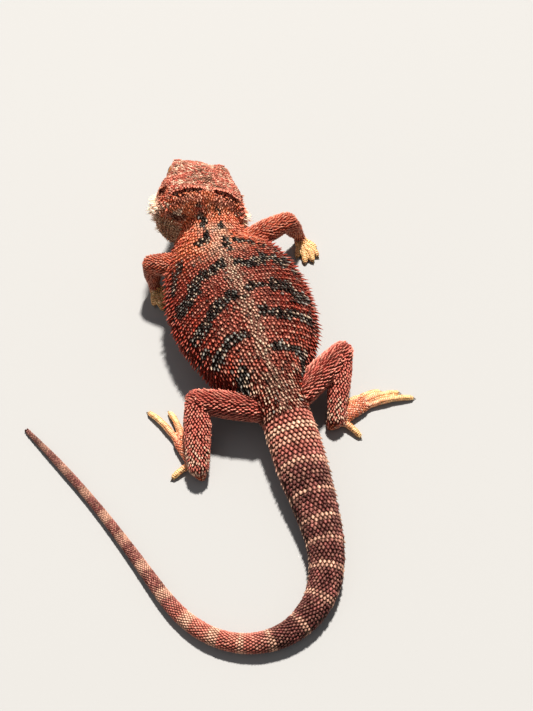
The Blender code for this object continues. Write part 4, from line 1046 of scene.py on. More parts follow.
class Placer:
    """Finds roots for scales on the skin, clear of the holes and of scales already set."""

    def __init__(self, skin):
        self.points = mesh_points(skin.data)
        self.normals = mesh_normals(skin.data)
        faces = [tuple(p.vertices) for p in skin.data.polygons]
        self.tree = BVHTree.FromPolygons([Vector(c) for c in self.points], faces)
        self.parts, self.labels = trees_of_parts()
        self.rng = np.random.default_rng(11)
        self.taken = {}
        self.holes = []
        for side in (1, -1):
            self.holes.append((mirrored(EAR_AT, side), 1.05))
            self.holes.append((mirrored(NOSTRIL_AT, side), 0.45))
        self.hollows = rim_hollows(self.points)
        self.holes += [(spot, 0.46) for spot in self.hollows]

    def project(self, points, reach):
        """The nearest places on the skin, their normals, and which are within reach."""
        where, normals, good = np.array(points), np.zeros_like(points), np.zeros(len(points), bool)
        for i, p in enumerate(points):
            spot, normal, _, distance = self.tree.find_nearest(Vector(p))
            if spot is not None and distance < reach:
                where[i], normals[i], good[i] = spot, normal, True
        for hole, radius in self.holes:
            good &= np.linalg.norm(where - hole, axis=1) > radius
        return where, normals, good

    def free(self, points, gaps):
        """Keeps the points that no earlier one is nearer to than their gap."""
        keep, gaps = np.zeros(len(points), bool), np.broadcast_to(gaps, len(points))
        cells = np.floor(points).astype(int)
        around = [(x, y, z) for x in (-1, 0, 1) for y in (-1, 0, 1) for z in (-1, 0, 1)]
        for i in range(len(points)):
            a, b, c = cells[i]
            x, y, z = points[i]
            limit = gaps[i] * gaps[i]
            clear = True
            for dx, dy, dz in around:
                for q in self.taken.get((a + dx, b + dy, c + dz), ()):
                    if (x - q[0]) ** 2 + (y - q[1]) ** 2 + (z - q[2]) ** 2 < limit:
                        clear = False
                        break
                if not clear:
                    break
            if clear:
                keep[i] = True
                self.taken.setdefault((a, b, c), []).append((x, y, z))
        return keep

    def rows(self, part, ends, pitch, span, jitter, reach=0.55, row_share=0.85, slant=None, across=1.0):
        """Rows of roots across the part from one place to another, pitch(place) apart, between two turns."""
        centres = part.grid.mean(1)
        run = np.concatenate([[0], np.cumsum(np.linalg.norm(np.diff(centres, axis=0), axis=1))])
        here, end = np.interp(ends, part.places, run)
        us, vs, gaps, numbers = [], [], [], []
        row = 0
        turns = np.linspace(span[0], span[1], 61)
        while here < end:
            u = np.interp(here, run, np.arange(len(run)))
            gap = float(pitch(float(part.place(u))))
            ring = part.at(np.full(61, u), turns)
            arc = np.concatenate([[0], np.cumsum(np.linalg.norm(np.diff(ring, axis=0), axis=1))])
            count = max(3, round(arc[-1] / gap / across))
            stops = (np.arange(count) + 0.25 + 0.5 * (row % 2)) / count * arc[-1]
            v = np.interp(stops, arc, turns)
            v += self.rng.uniform(-jitter, jitter, count) * gap / max(arc[-1], 1e-6) * (span[1] - span[0])
            step = gap * row_share
            du = self.rng.uniform(-jitter, jitter, count) * step
            if slant is not None:
                du = du + slant(part.place(np.full(count, u)), v)
            us.append(np.interp(here + du, run, np.arange(len(run))))
            vs.append(v)
            gaps.append(np.full(count, gap))
            numbers.append(np.full(count, row))
            here += step
            row += 1
        us, vs, gaps, numbers = (np.concatenate(a) for a in (us, vs, gaps, numbers))
        points = part.at(us, vs)
        ahead = part.at(us + 0.6, vs) - part.at(us - 0.6, vs)
        where, normals, good = self.project(points, reach)
        where, normals, back, us, vs, gaps = (a[good] for a in (where, normals, unit(ahead), us, vs, gaps))
        keep = self.free(where, gaps * 0.6)
        self.row_numbers = numbers[good][keep]
        return [a[keep] for a in (where, normals, back, us, vs, gaps)]

    def line(self, part, places, turns, reach=0.6, gap=0.35):
        """Roots along a line over the part."""
        u = part.ring_at(np.asarray(places, float))
        v = np.broadcast_to(np.asarray(turns, float), u.shape)
        points = part.at(u, v)
        ahead = unit(part.at(u + 0.6, v) - part.at(u - 0.6, v))
        where, normals, good = self.project(points, reach)
        keep = np.array(good)
        keep[good] = self.free(where[good], gap)
        return [a[keep] for a in (where, normals, ahead, u, v)]

    def mirrored_line(self, part, places, turns, side, middle, reach, gap):
        """The same line on the left (side 1) or the right (-1), mirrored about a turn."""
        return self.line(part, places, turns if side > 0 else middle - turns, reach, gap)

    def scatter(self, gap_at, centre=None, reach=None, tries=4):
        """Fills the bare skin with roots: gap_at(points, part numbers) says how far apart, or 0 for none."""
        chosen = np.arange(len(self.points))
        if centre is not None:
            chosen = chosen[np.linalg.norm(self.points - centre, axis=1) < reach]
        labels_of = np.zeros((len(self.points), 3), int)
        found = [[] for _ in range(6)]
        for _ in range(tries):
            order = self.rng.permutation(chosen)
            points = self.points[order] + self.rng.uniform(-0.06, 0.06, (len(order), 3))
            normals = self.normals[order]
            if not found[0]:
                labels_of[order] = self.labels[[self.parts.find(p)[1] for p in points]]
            labels = labels_of[order]
            gaps = gap_at(points, labels[:, 0])
            good = gaps > 0
            for hole, radius in self.holes:
                good &= np.linalg.norm(points - hole, axis=1) > radius
            points, normals, labels, gaps = (a[good] for a in (points, normals, labels, gaps))
            keep = self.free(points, gaps)
            points, normals, labels, gaps = (a[keep] for a in (points, normals, labels, gaps))
            backs = np.zeros_like(points)
            u, v = labels[:, 1].astype(float), np.zeros(len(labels))
            for k in np.unique(labels[:, 0]):
                part, mask = PARTS[k], labels[:, 0] == k
                v[mask] = labels[mask, 2] / part.grid.shape[1]
                backs[mask] = unit(part.at(u[mask] + 0.6, v[mask]) - part.at(u[mask] - 0.6, v[mask]))
                if part is HEAD_PART:
                    backs[mask] *= -1
            for store, values in zip(found, (points, normals, backs, labels, gaps, np.stack([u, v], 1))):
                store.append(values)
        return [np.concatenate(a) for a in found]


def sizes_of(gaps, across, along, out, rng, spread=0.12):
    """Sizes of scales as shares of the gaps between them, varied a little."""
    factor = varied(rng, len(gaps), spread)
    tall = gaps * out * varied(rng, len(gaps), spread * 1.6)
    return np.stack([gaps * across * factor, gaps * along * factor, tall], 1)


def varied(rng, count, spread):
    return 1 + rng.uniform(-spread, spread, count)


def tinted(colour, rng, spread):
    return np.clip(colour * varied(rng, len(colour), spread)[:, None], 0, 1)


def spikes(scales, rooted, part, direction, length, width, low, high):
    """Adds thorns at the roots, of these lengths, along a direction."""
    where, _, back, u, v = rooted
    width = np.broadcast_to(width, len(where))
    size = np.stack([width, width * 1.1, length], 1)
    scales.add("thorn", where, unit(direction), back, size, low, high, (part, u, v), sharp=1.6, rim=0.45)


# Spines along the flanks: turn round the trunk, start beyond the first, length.
FLANK_FRINGE = [(0.012, 0.0, 1.45), (0.036, 0.5, 1.15), (-0.02, 0.25, 0.95), (0.06, 0.1, 0.95)]
# Spines along the neck's sides: from y to y, from turn to turn, length.
NECK_FRINGE = [(-45.6, -38.0, 0.10, 0.07, 0.8), (-45.6, -36.0, 0.155, 0.135, 0.65)]


def trunk_scales(placer):
    """Spines of the flank fringe, then keeled cones in rows over the back, and smooth scales on the belly."""
    rng = np.random.default_rng(21)
    fringe, back, belly = Scales("fringe"), Scales("back_scales"), Scales("belly_scales")
    part = TRUNK_PART
    for base, shift, length in FLANK_FRINGE:
        for side in (1, -1):
            y = np.arange(-40.0 + shift * 0.8, -3.5, 0.8)
            y = y + rng.uniform(-0.12, 0.12, len(y))
            turn = base + rng.uniform(-0.006, 0.006, len(y))
            rooted = placer.mirrored_line(part, y, turn, side, 0.5, 0.5, 0.45)
            where, normals, ahead, u, v = rooted
            n = len(where)
            size = length * varied(rng, n, 0.25) * (0.7 + 0.3 * smoothstep((part.place(u) + 40) / 8))
            # Painted shade: the flank spines are darkened, most at their roots.
            low = mixed(part_colours(0, where, u, v), MAROON, 0.7) * 0.7
            high = mixed(mixed(low, RUST, 0.45), ROSY, rng.uniform(0.0, 0.7, n) ** 1.5)
            spikes(fringe, rooted, part, normals + ahead * 0.55, size, 0.62, low, high)
    for side in (1, -1):
        for start, end, first, last, length in NECK_FRINGE:
            y = np.arange(start, end, 0.85)
            turn = np.interp(y, [start, end], [first, last])
            rooted = placer.mirrored_line(part, y, turn, side, 0.5, 0.9, 0.4)
            n = len(rooted[0])
            high = mixed(ORANGE, CREAM, rng.uniform(0.2, 0.8, n))
            size = length * varied(rng, n, 0.2)
            spikes(fringe, rooted, part, rooted[1] + rooted[2] * 0.9, size, 0.55, BRICK, high)

    def pitch(y):
        return 0.60 + 0.26 * float(smoothstep((y + 37) / 16)) - 0.12 * float(smoothstep((y + 10) / 7))

    def slant(y, v):
        left = np.cos(2 * np.pi * v)
        width = through(TRUNK, y)[:, 2]
        window = smoothstep((y + 42) / 10) * smoothstep((0 - y) / 10)
        return np.where(left > 0, 0.5, 0.22) * np.abs(left) * width * window

    ends = (-46.5, 2.0)
    where, normals, ahead, u, v, gaps = placer.rows(part, ends, pitch, (-0.035, 0.535), 0.15, slant=slant)
    y = part.place(u)
    colour, dark, stripe, lateral = trunk_colours(where, y)
    rank = rng.uniform(0, 1, len(y))
    lesser = (placer.row_numbers % 2) * smoothstep((lateral - 0.12) / 0.3)
    lesser = lesser * smoothstep((y + 36) / 8) * smoothstep((-8 - y) / 6)
    dark = smoothstep((dark - 0.3 + 0.42 * rng.uniform(-1, 1, len(y))) / 0.2)
    lone = 0.9 * (rng.uniform(0, 1, len(y)) > 0.965) * (lateral < 0.9) * smoothstep((y + 44) / 4)
    dark = np.maximum(dark, lone)
    hips = smoothstep((y + 11) / 9)
    front = smoothstep((-33.0 - y) / 6.0)
    # Painted shade: each cone darkens into the gaps at its root, less on the shoulders.
    low = mixed(colour, PAINTED_SHADE, 0.9 - 0.5 * front)
    low = mixed(low, DARK, dark)
    tip = mixed(PINK, RUST, smoothstep((lateral - 0.25) / 0.5))
    high = mixed(colour, tip, 0.7)
    pale = 0.2 + 0.5 * stripe + 0.62 * (rank > 0.5) * (1 - 0.5 * smoothstep(lateral * 1.2))
    pale = pale + 0.3 * hips * (rank > 0.5)
    creamy = np.clip(0.2 + stripe + 0.7 * hips + 0.4 * rng.uniform(-1, 1, len(y)), 0, 1)
    high = mixed(high, mixed(ROSY, CREAM, creamy), np.clip(pale * varied(rng, len(y), 0.6), 0, 0.95))
    # Painted shade: some hip cones are darkened like gaps among the bright ones, the tips darken towards the
    # lower flanks, and the lesser rows darken between the rows of cones.
    high = mixed(high, PAINTED_SHADE, hips * (rank < 0.38) * 0.75)
    high = mixed(mixed(high, MAROON, smoothstep((lateral - 0.68) / 0.28) * 0.6), PAINTED_SHADE, lesser * 0.6)
    high = mixed(high, mixed(ORANGE, CREAM, 0.4), front * (rank > 0.3) * (1 - dark) * 0.6)
    ashen = mixed(DARK, ASH, rng.uniform(0, 1, len(y)) ** 2.2)
    ashen = mixed(ashen, CREAM, (rng.uniform(0, 1, len(y)) > 0.8) * 0.75)
    high = mixed(high, ashen, dark)
    size = sizes_of(gaps, 0.98, 1.12, 1.0, rng)
    size[:, :2] *= (1 + 0.16 * smoothstep((-36 - y) / 4))[:, None]
    size[:, 2] *= (0.58 + 0.24 * smoothstep((y + 38) / 14)) * (1 + 0.5 * (rank > 0.8)) * (1 - 0.5 * lesser)
    size[:, :2] *= (1 + 0.1 * (rank > 0.86) - 0.26 * lesser)[:, None]
    low, high = tinted(low, rng, 0.2), tinted(high, rng, 0.25)
    back.add("cone", where, normals, ahead, size, low, high, (part, u, v), lean=0.35, sharp=1.5)
    where, normals, ahead, u, v, gaps = placer.rows(part, ends, lambda y: 0.72, (0.54, 0.96), 0.06)
    colour = trunk_colours(where, part.place(u))[0]
    size = sizes_of(gaps, 1.02, 1.35, 0.2, rng)
    # Painted shade at each belly scale's root.
    low, high = tinted(colour * 0.6, rng, 0.1), tinted(colour * 1.1, rng, 0.1)
    belly.add("leaf", where, normals, ahead, size, low, high, (part, u, v), lean=0.3)
    return fringe, back, belly


def tail_scales(placer):
    """Whorls of keeled, overlapping scales, large at the root and small at the tip."""
    rng = np.random.default_rng(22)
    scales = Scales("tail_scales")
    part = TAIL_PART
    for side in (0.025, 0.475):
        s = np.arange(1.0, 44.0, 1.0)
        rooted = placer.line(part, s, side + rng.uniform(-0.01, 0.01, len(s)), 0.5, 0.3)
        where, normals, ahead, u, v = rooted
        s = part.place(u)
        length = (1.3 - 0.8 * s / 44.0) * varied(rng, len(s), 0.2)
        # Painted shade at each spine's root.
        low = tail_colours(where, s, v)[0] * 0.5
        high = mixed(low, CREAM, 0.5)
        spikes(scales, rooted, part, normals + ahead * 1.0, length, length * 0.7, low, high)

    def pitch(s):
        radius = float(through(TAIL, s)[0])
        return max(2 * math.pi * radius / (14 + 18 * radius / 4.85), 0.34)

    ends = (0.2, 117.4)
    where, normals, ahead, u, v, gaps = placer.rows(part, ends, pitch, (0.0, 1.0), 0.06, row_share=0.86)
    s = part.place(u)
    colour, band = tail_colours(where, s, v)
    # Painted shade: each tail scale darkens to near black at its root.
    low = mixed(colour, TAIL_DARK, 0.85)
    shaded = smoothstep((s - 11) / 6) * smoothstep((52 - s) / 6) * (1 - band)
    high = mixed(colour, TAIL_PALE, (0.06 + 0.5 * rng.uniform(0, 1, len(s)) ** 3) * (1 - 0.5 * shaded))
    high = tinted(high, rng, 0.18)
    size = sizes_of(gaps, 0.98, 1.16, 0.46, rng, 0.1)
    size[:, 2] *= 1 + 0.35 * smoothstep((12 - s) / 10) * (np.sin(2 * np.pi * v) > 0.2)
    low, at = tinted(low, rng, 0.15), (part, u, v)
    scales.add("tile", where, normals, ahead, size, low, high, at, lean=0.35, sharp=0.9, rim=0.15)
    return scales


def limb_scales(placer):
    """Cones on the arms, ridged scales on the thighs and tiles on the shins."""
    rng = np.random.default_rng(23)
    limbs = Scales("limb_scales")
    for part in SEGMENTS:
        k = PARTS.index(part)
        lower = part.name.endswith("lower")
        leg = part.name.startswith("leg")
        gap = (0.68 if leg else 0.6) * (0.88 if lower else 1.0)

        def slant(t, v):
            return 0.35 * np.cos(2 * np.pi * v) * (1 if "left" in part.name else -1)

        ends = (part.places[0], part.places[-1])
        rooted = placer.rows(part, ends, lambda t: gap, (0.0, 1.0), 0.2, reach=0.45, slant=slant)
        where, normals, ahead, u, v, gaps = rooted
        colour = part_colours(k, where, u, v)
        top = smoothstep((normals[:, 2] + 0.25) / 0.8)
        rank = rng.uniform(0, 1, len(u))
        pale = 0.14 + 0.46 * (rank > 0.68) + 0.12 * (not leg)
        share = u / len(part.grid)
        if lower and leg:
            heel = smoothstep((share - 0.72) / 0.15)
            pale = pale + 0.55 * smoothstep((share - 0.45) / 0.35) * (rank > 0.55) * (1 - heel)
            pale = pale + 0.95 * heel * (rank > 0.6)
        # Painted shade at each scale's root.
        low = mixed(colour, PAINTED_SHADE, 0.85 if leg else 0.78)
        high = mixed(colour, (0.95, 0.27, 0.21) if leg else mixed(RUST, ORANGE, rank), 0.7)
        light = mixed(ROSY, CREAM, 0.3 + 0.7 * (share > 0.6) * (lower and leg))
        high = mixed(high, light, np.clip(pale, 0, 0.85))
        high = mixed(high, BELLY, (1 - top) * 0.35)
        kind = "tile" if lower and leg else "ridge" if leg else "cone"
        size = sizes_of(gaps, 0.96 if leg and not lower else 1.02, 1.22 if leg else 1.12, 1.0, rng)
        size[:, 2] *= (0.25 + (0.42 if leg else 0.3) * top) * (1 + 0.4 * (rank > 0.85))
        low, high = tinted(low, rng, 0.18), tinted(high, rng, 0.15)
        limbs.add(kind, where, normals, ahead, size, low, high, (part, u, v), lean=0.4)
    return limbs


def paw_scales(placer):
    """Rows of small scales over the palms and soles, and half rings along the digits."""
    rng = np.random.default_rng(25)
    paws = Scales("paw_scales")
    for part in DIGITS:
        k = PARTS.index(part)
        for here in np.arange(0.15, part.places[-1] - 0.1, 0.36):
            radius = float(through(DIGIT_RADII, here / part.places[-1])[0])
            for turn, width in ((0.25, 1.62), (0.035, 0.72), (0.465, 0.72), (0.93, 0.55), (0.57, 0.55)):
                rooted = placer.line(part, [here + 0.18 * (width < 1)], [turn], 0.35, 0.24)
                where, normals, ahead, u, v = rooted
                if not len(where):
                    continue
                colour = part_colours(k, where, u, v)
                high = tinted(mixed(colour, CREAM, 0.4), rng, 0.1)
                # Painted shade at each plate's root.
                low = mixed(colour, (0.50, 0.18, 0.05), 0.5)
                size, bend = (radius * width, 0.36, 0.11), 0.9 / radius
                at = (part, u, v)
                paws.add("plate", where, normals, ahead, size, low, high, at, lean=0.15, curve=bend, rim=0.5)
    for part in SOLES:
        k = PARTS.index(part)
        ends = (part.places[1], part.places[-2])
        rooted = placer.rows(part, ends, lambda t: 0.48, (0.0, 1.0), 0.06, reach=0.4, across=1.25)
        keep = rooted[1][:, 2] > -0.55
        where, normals, ahead, u, v, gaps = (a[keep] for a in rooted)
        colour = part_colours(k, where, u, v)
        # Painted shade at each scale's root.
        low = mixed(colour, (0.16, 0.03, 0.02), 0.6)
        high = mixed(colour, CREAM, 0.15 + 0.5 * (rng.uniform(0, 1, len(u)) > 0.7))
        size = sizes_of(gaps, 1.25, 1.15, 0.36, rng, 0.08)
        paws.add("tile", where, normals, ahead, size, low, tinted(high, rng, 0.1), (part, u, v), lean=0.3)
    return paws


def turn_at_height(forward, height, side):
    """Where round the head a height lies at each forward place."""
    turns = np.linspace(0.1, 0.48, 77)
    found = []
    for f, h in zip(forward, height):
        heights = from_head(HEAD_PART.at(np.full(77, HEAD_PART.ring_at(f)), turns))[:, 2]
        found.append(np.interp(-h, -heights, turns))
    found = np.array(found)
    return found if side > 0 else 1 - found


# Rows of spines: shift round the head below the mouth, how many, from forward place to place, size.
JAW_FRINGE = [
    (-0.016, 34, -0.6, 12.0, 0.85), (0.004, 38, -0.8, 15.0, 1.0), (0.022, 34, -1.0, 13.0, 0.95),
    (0.046, 24, -1.4, 9.5, 0.78), (0.075, 19, -1.6, 8.0, 0.6), (0.11, 15, -1.8, 7.0, 0.5),
]
EAR_SPINES = [(-0.035, 9, -2.2, 1.2, 1.15), (-0.07, 8, -2.3, 0.7, 0.95), (-0.105, 7, -2.3, 0.0, 0.8)]


def head_fringes(placer, face, beard):
    """The scalloped rim of the skull, the jaw's fringe, spines round the ear and the throat's hind edge."""
    rng = np.random.default_rng(24)
    part = HEAD_PART
    forward, left, up = HEAD_AXES
    for side in (1, -1):
        for count, back_by, width, length in ((10, 0.0, 0.95, 0.95), (12, 0.5, 0.7, 0.65)):
            share = (np.arange(count) + 0.9) / count
            roots = from_head_frame(rim_places(share, side, -back_by))
            where, normals, good = placer.project(roots, 1.6)
            direction = -forward * 0.98 + up * (0.12 + 0.2 * back_by) + left * (side * 0.5 * share)[:, None]
            u, v = part.ring_at(-0.8), 0.15 * share if side > 0 else 1 - 0.15 * share
            # Painted shade: darker at the spines' roots.
            low = mixed(CROWN, MAROON, rng.uniform(0.1, 0.6, count))
            high = mixed(CROWN, PINK, rng.uniform(0.3, 1.0, count))
            high = mixed(high, CREAM, rng.uniform(0.0, 0.6, count))
            grown = 0.75 + 0.35 * np.sin(np.pi * share)
            tall = length * grown * varied(rng, count, 0.15)
            size = np.stack([width * grown, np.full(count, 0.6), tall], 1)
            at = (part, u, v)
            face.add("thorn", where, unit(direction), up, size, low, high, at, sharp=1.1, rim=0.6)
            placer.free(where, 0.2)
    for shift, count, first, last, size in JAW_FRINGE:
        for side in (1, -1):
            f = np.linspace(first, last, count) + rng.uniform(-0.1, 0.1, count)
            turn = turn_at_height(f, mouth_height(f) - 0.95, 1) + shift
            rooted = placer.mirrored_line(part, f, turn, side, 1, 0.9, 0.25)
            where, normals, _, u, _ = rooted
            n = len(where)
            run = np.clip((part.place(u) - first) / (last - first), 0, 1)
            hind = smoothstep(run * 4) if shift > 0.03 else smoothstep(run * 8)
            least = 0.15 if shift > 0.03 else 0.5
            length = size * (1.7 * (1 - run) ** 0.95 * (least + (1 - least) * hind) + 0.42)
            length = length * varied(rng, n, 0.25)
            swept = (0.65 - 0.4 * smoothstep(run * 3.5))[:, None]
            direction = unit(left * side - forward * swept - up * (0.02 + shift * 8)) + normals * 0.35
            low = mixed(CREAM, THROAT, rng.uniform(0.1, 0.7, n))
            high = mixed(WHITE, CREAM, rng.uniform(0, 0.4, n))
            high = mixed(high, THROAT, (1 - hind) * 0.75 * (shift > 0.03))
            spikes(beard, rooted, part, direction, length, np.clip(length * 0.36, 0.26, 0.62), low, high)
    for side in (1, -1):
        ear = mirrored(EAR_AT, side)
        a = np.arange(16) * 2 * np.pi / 16
        spoke = forward * (1.12 * np.cos(a))[:, None] + up * (1.3 * np.sin(a))[:, None]
        where, normals, good = placer.project(ear + spoke, 1.2)
        where, normals, spoke = where[good], normals[good], spoke[good]
        n = len(where)
        at = (part, part.ring_at(EAR_AT[0]), 0.22 if side > 0 else 0.78)
        size = np.stack([np.full(n, 0.42), np.full(n, 0.46), 0.32 + 0.45 * (spoke @ forward > 0.4)], 1)
        high = mixed(ORANGE, CREAM, rng.uniform(0.1, 0.7, n))
        direction = unit(normals - spoke * 0.35)
        # Painted shade: maroon at the cones' roots.
        face.add("cone", where, direction, spoke, size, MAROON, high, at)
        placer.free(where, 0.2)
    for shift, count, first, last, size in EAR_SPINES:
        for side in (1, -1):
            f = np.linspace(first, last, count) + rng.uniform(-0.2, 0.2, count)
            turn = turn_at_height(f, mouth_height(f) - 0.2, 1) + shift + rng.uniform(-0.009, 0.009, count)
            rooted = placer.mirrored_line(part, f, turn, side, 1, 0.9, 0.3)
            n = len(rooted[0])
            length = size * varied(rng, n, 0.35)
            high = mixed(ORANGE, CREAM, rng.uniform(0.3, 0.95, n))
            spikes(face, rooted, part, rooted[1] * 0.6 - forward * 0.7, length, length * 0.5, BRICK, high)
    for shift, length in ((0.0, 0.7), (0.45, 0.6), (0.9, 0.5)):
        for side in (1, -1):
            turn = np.arange(0.325, 0.46, 0.0105) + shift * 0.006
            f = np.interp(turn, [0.32, 0.37, 0.46], [-3.1, -2.7, -1.7]) + shift
            rooted = placer.mirrored_line(part, f, turn, side, 1, 1.2, 0.3)
            n = len(rooted[0])
            size = length * varied(rng, n, 0.25)
            low = mixed(THROAT, CREAM, rng.uniform(0.0, 0.5, n))
            high = mixed(CREAM, THROAT, rng.uniform(0, 0.7, n))
            direction = rooted[1] * 0.5 - forward * 0.7 + left * side * 0.25 - up * 0.4
            spikes(beard, rooted, part, direction, size, size * 0.46, low, high)
    for shift, tall in ((0.37, 0.6), (-0.37, 0.58)):
        for side in (1, -1):
            f = np.arange(MOUTH_CORNER - 0.1, 17.6, 0.62)
            turn = turn_at_height(f, mouth_height(f) + shift, 1)
            where, normals, ahead, u, v = placer.mirrored_line(part, f, turn, side, 1, 0.7, 0.3)
            n = len(where)
            colour = head_colours(where, from_head(where))[0]
            high = mixed(mixed(colour, CROWN, 0.35), CREAM, rng.uniform(0.0, 0.28, n))
            high, size = tinted(high, rng, 0.15), (tall, 0.65, 0.09)
            # Painted shade: each plate darkens to its root.
            face.add("plate", where, normals, -ahead, size, colour * 0.45, high, (part, u, v), rim=0.5)


# Rings of scales on the lids: degrees beyond the edge, and gap.
LID_RINGS = [(4.5, 0.27), (10.5, 0.30), (17.5, 0.34), (25.0, 0.38), (33.5, 0.42), (42.0, 0.44)]


def lid_scales(placer, face):
    """Rings of small scales over the lids, and pointed ones along the brow's edge."""
    rng = np.random.default_rng(26)
    forward, left, up = HEAD_AXES
    for side in (1, -1):
        centre, out, along, tall = eye_frame(side)
        for ring, (beyond, gap) in enumerate(LID_RINGS):
            mean_angle = lid_edge(np.linspace(0, 6.28, 90)).mean() + math.radians(beyond)
            count = int(2 * np.pi * 2.4 * np.sin(mean_angle) / gap)
            a = (np.arange(count) + 0.5 * (ring % 2)) * 2 * np.pi / count
            angle = lid_edge(a) + math.radians(beyond)
            spoke = along * np.cos(a)[:, None] + tall * np.sin(a)[:, None]
            normal = out * np.cos(angle)[:, None] + spoke * np.sin(angle)[:, None]
            roots = centre + normal * lid_radius(beyond)
            colour = head_colours(roots, from_head(roots))[0]
            # Painted shade at each bead's root.
            low = mixed(colour, PAINTED_SHADE, 0.45)
            high = mixed(colour, CREAM, rng.uniform(0.05, 0.5, count))
            at = (HEAD_PART, HEAD_PART.ring_at(EYE_AT[0]), 0.2 if side > 0 else 0.8)
            size = np.array((gap * 1.08, gap * 1.05, 0.13)) * varied(rng, count, 0.1)[:, None]
            face.add("bead", roots, normal, spoke, size, low, high, at)
            placer.free(roots, 0.15)
        share = np.linspace(0, 1, 14)
        bulge = np.sin(np.pi * (0.12 + 0.76 * share))
        aside, height = 4.3 + 2.35 * bulge - 0.5 * share, -2.0 + 0.95 * bulge - 0.25 * share
        roots = from_head_frame(np.stack([5.6 + 6.6 * share, side * aside, height], 1))
        where, normals, good = placer.project(roots, 1.2)
        where, normals = where[good], normals[good]
        n = len(where)
        colour = head_colours(where, from_head(where))[0]
        direction = left * side * 0.75 - forward * 0.5 + up * 0.25
        at = (HEAD_PART, HEAD_PART.ring_at(EYE_AT[0] + share[good]), 0.14 if side > 0 else 0.86)
        high, size = mixed(colour, CREAM, 0.4), (0.62, 0.75, 0.42)
        normals = unit(normals + left * side * 0.3)
        # Painted shade: each cone darkens to its root.
        face.add("cone", where, normals, direction, size, colour * 0.4, high, at, lean=0.3)
        placer.free(where, 0.3)


def head_scales(placer):
    """Uneven plates on the crown, granules on the cheeks, pointed scales on the throat."""
    rng = np.random.default_rng(27)
    face, beard = Scales("head_scales"), Scales("beard")
    lid_scales(placer, face)
    head_fringes(placer, face, beard)
    eyes = [eye_frame(side)[:2] for side in (1, -1)]
    head_number = PARTS.index(HEAD_PART)

    def gap_at(points, number):
        place = from_head(points)
        mouth = mouth_height(place[:, 0])
        gap = np.where(place[:, 2] < mouth, 0.46, 0.38)
        gap = np.where(place[:, 2] > -3.6, 0.41, gap)
        gap = gap * (1 - 0.22 * smoothstep((place[:, 0] - 10.0) / 5.0))
        gap = np.where(place[:, 0] < -1.2, 0.46, gap)
        clear = (number == head_number) & ~in_slit(place, 0.4, 0.3)
        for centre, out in eyes:
            offset = points - centre
            clear &= (np.linalg.norm(offset, axis=1) > 2.55) | (unit(offset) @ out < 0.1)
        return np.where(clear, gap, 0.0)

    where, normals, back, _, gaps, uv = placer.scatter(gap_at, in_head(7, 0, -6), 19.0)
    place = from_head(where)
    colour, crown, below = head_colours(where, place)
    rank = rng.uniform(0, 1, len(where))
    nape = place[:, 0] < -1.3
    peaked = rng.uniform(0, 1, len(where)) > 0.55
    throats = (below > 0.5) & ~nape
    crowns = (crown > 0.5) & ~nape
    cheeks = ~crowns & ~throats & ~nape
    # Painted shade at each scale's root, deeper on the nape.
    low = tinted(mixed(colour, PAINTED_SHADE, 0.35 + 0.2 * nape), rng, 0.2)
    high = mixed(colour, CREAM, 0.14 + 0.4 * (rank > 0.7) + 0.16 * nape)
    high = tinted(mixed(high, PINK, 0.2 * (crown > 0.5)), rng, 0.2)
    turned = unit(back + np.cross(back, normals) * rng.uniform(-0.9, 0.9, len(where))[:, None])
    for kind, mask, across, along, tall, lean, backs in (
        ("pebble", crowns & ~peaked, 1.42, 1.42, 0.42, 0.1, turned),
        ("cone", crowns & peaked, 1.42, 1.46, 0.58, 0.15, turned),
        ("pebble", cheeks & ~peaked, 1.40, 1.44, 0.38, 0.25, turned),
        ("cone", cheeks & peaked, 1.40, 1.46, 0.5, 0.35, back),
        ("leaf", throats, 1.3, 1.75, 0.42, 0.5, back),
        ("cone", nape, 1.32, 1.46, 0.6, 0.35, back),
    ):
        size = sizes_of(gaps[mask], across, along, tall, rng, 0.16)
        size[:, 2] *= 1 + 0.55 * (rank[mask] > 0.88)
        target, at = beard if kind == "leaf" else face, (HEAD_PART, *uv[mask].T)
        target.add(kind, where[mask], normals[mask], backs[mask], size, low[mask], high[mask], at, lean=lean)
    return face, beard


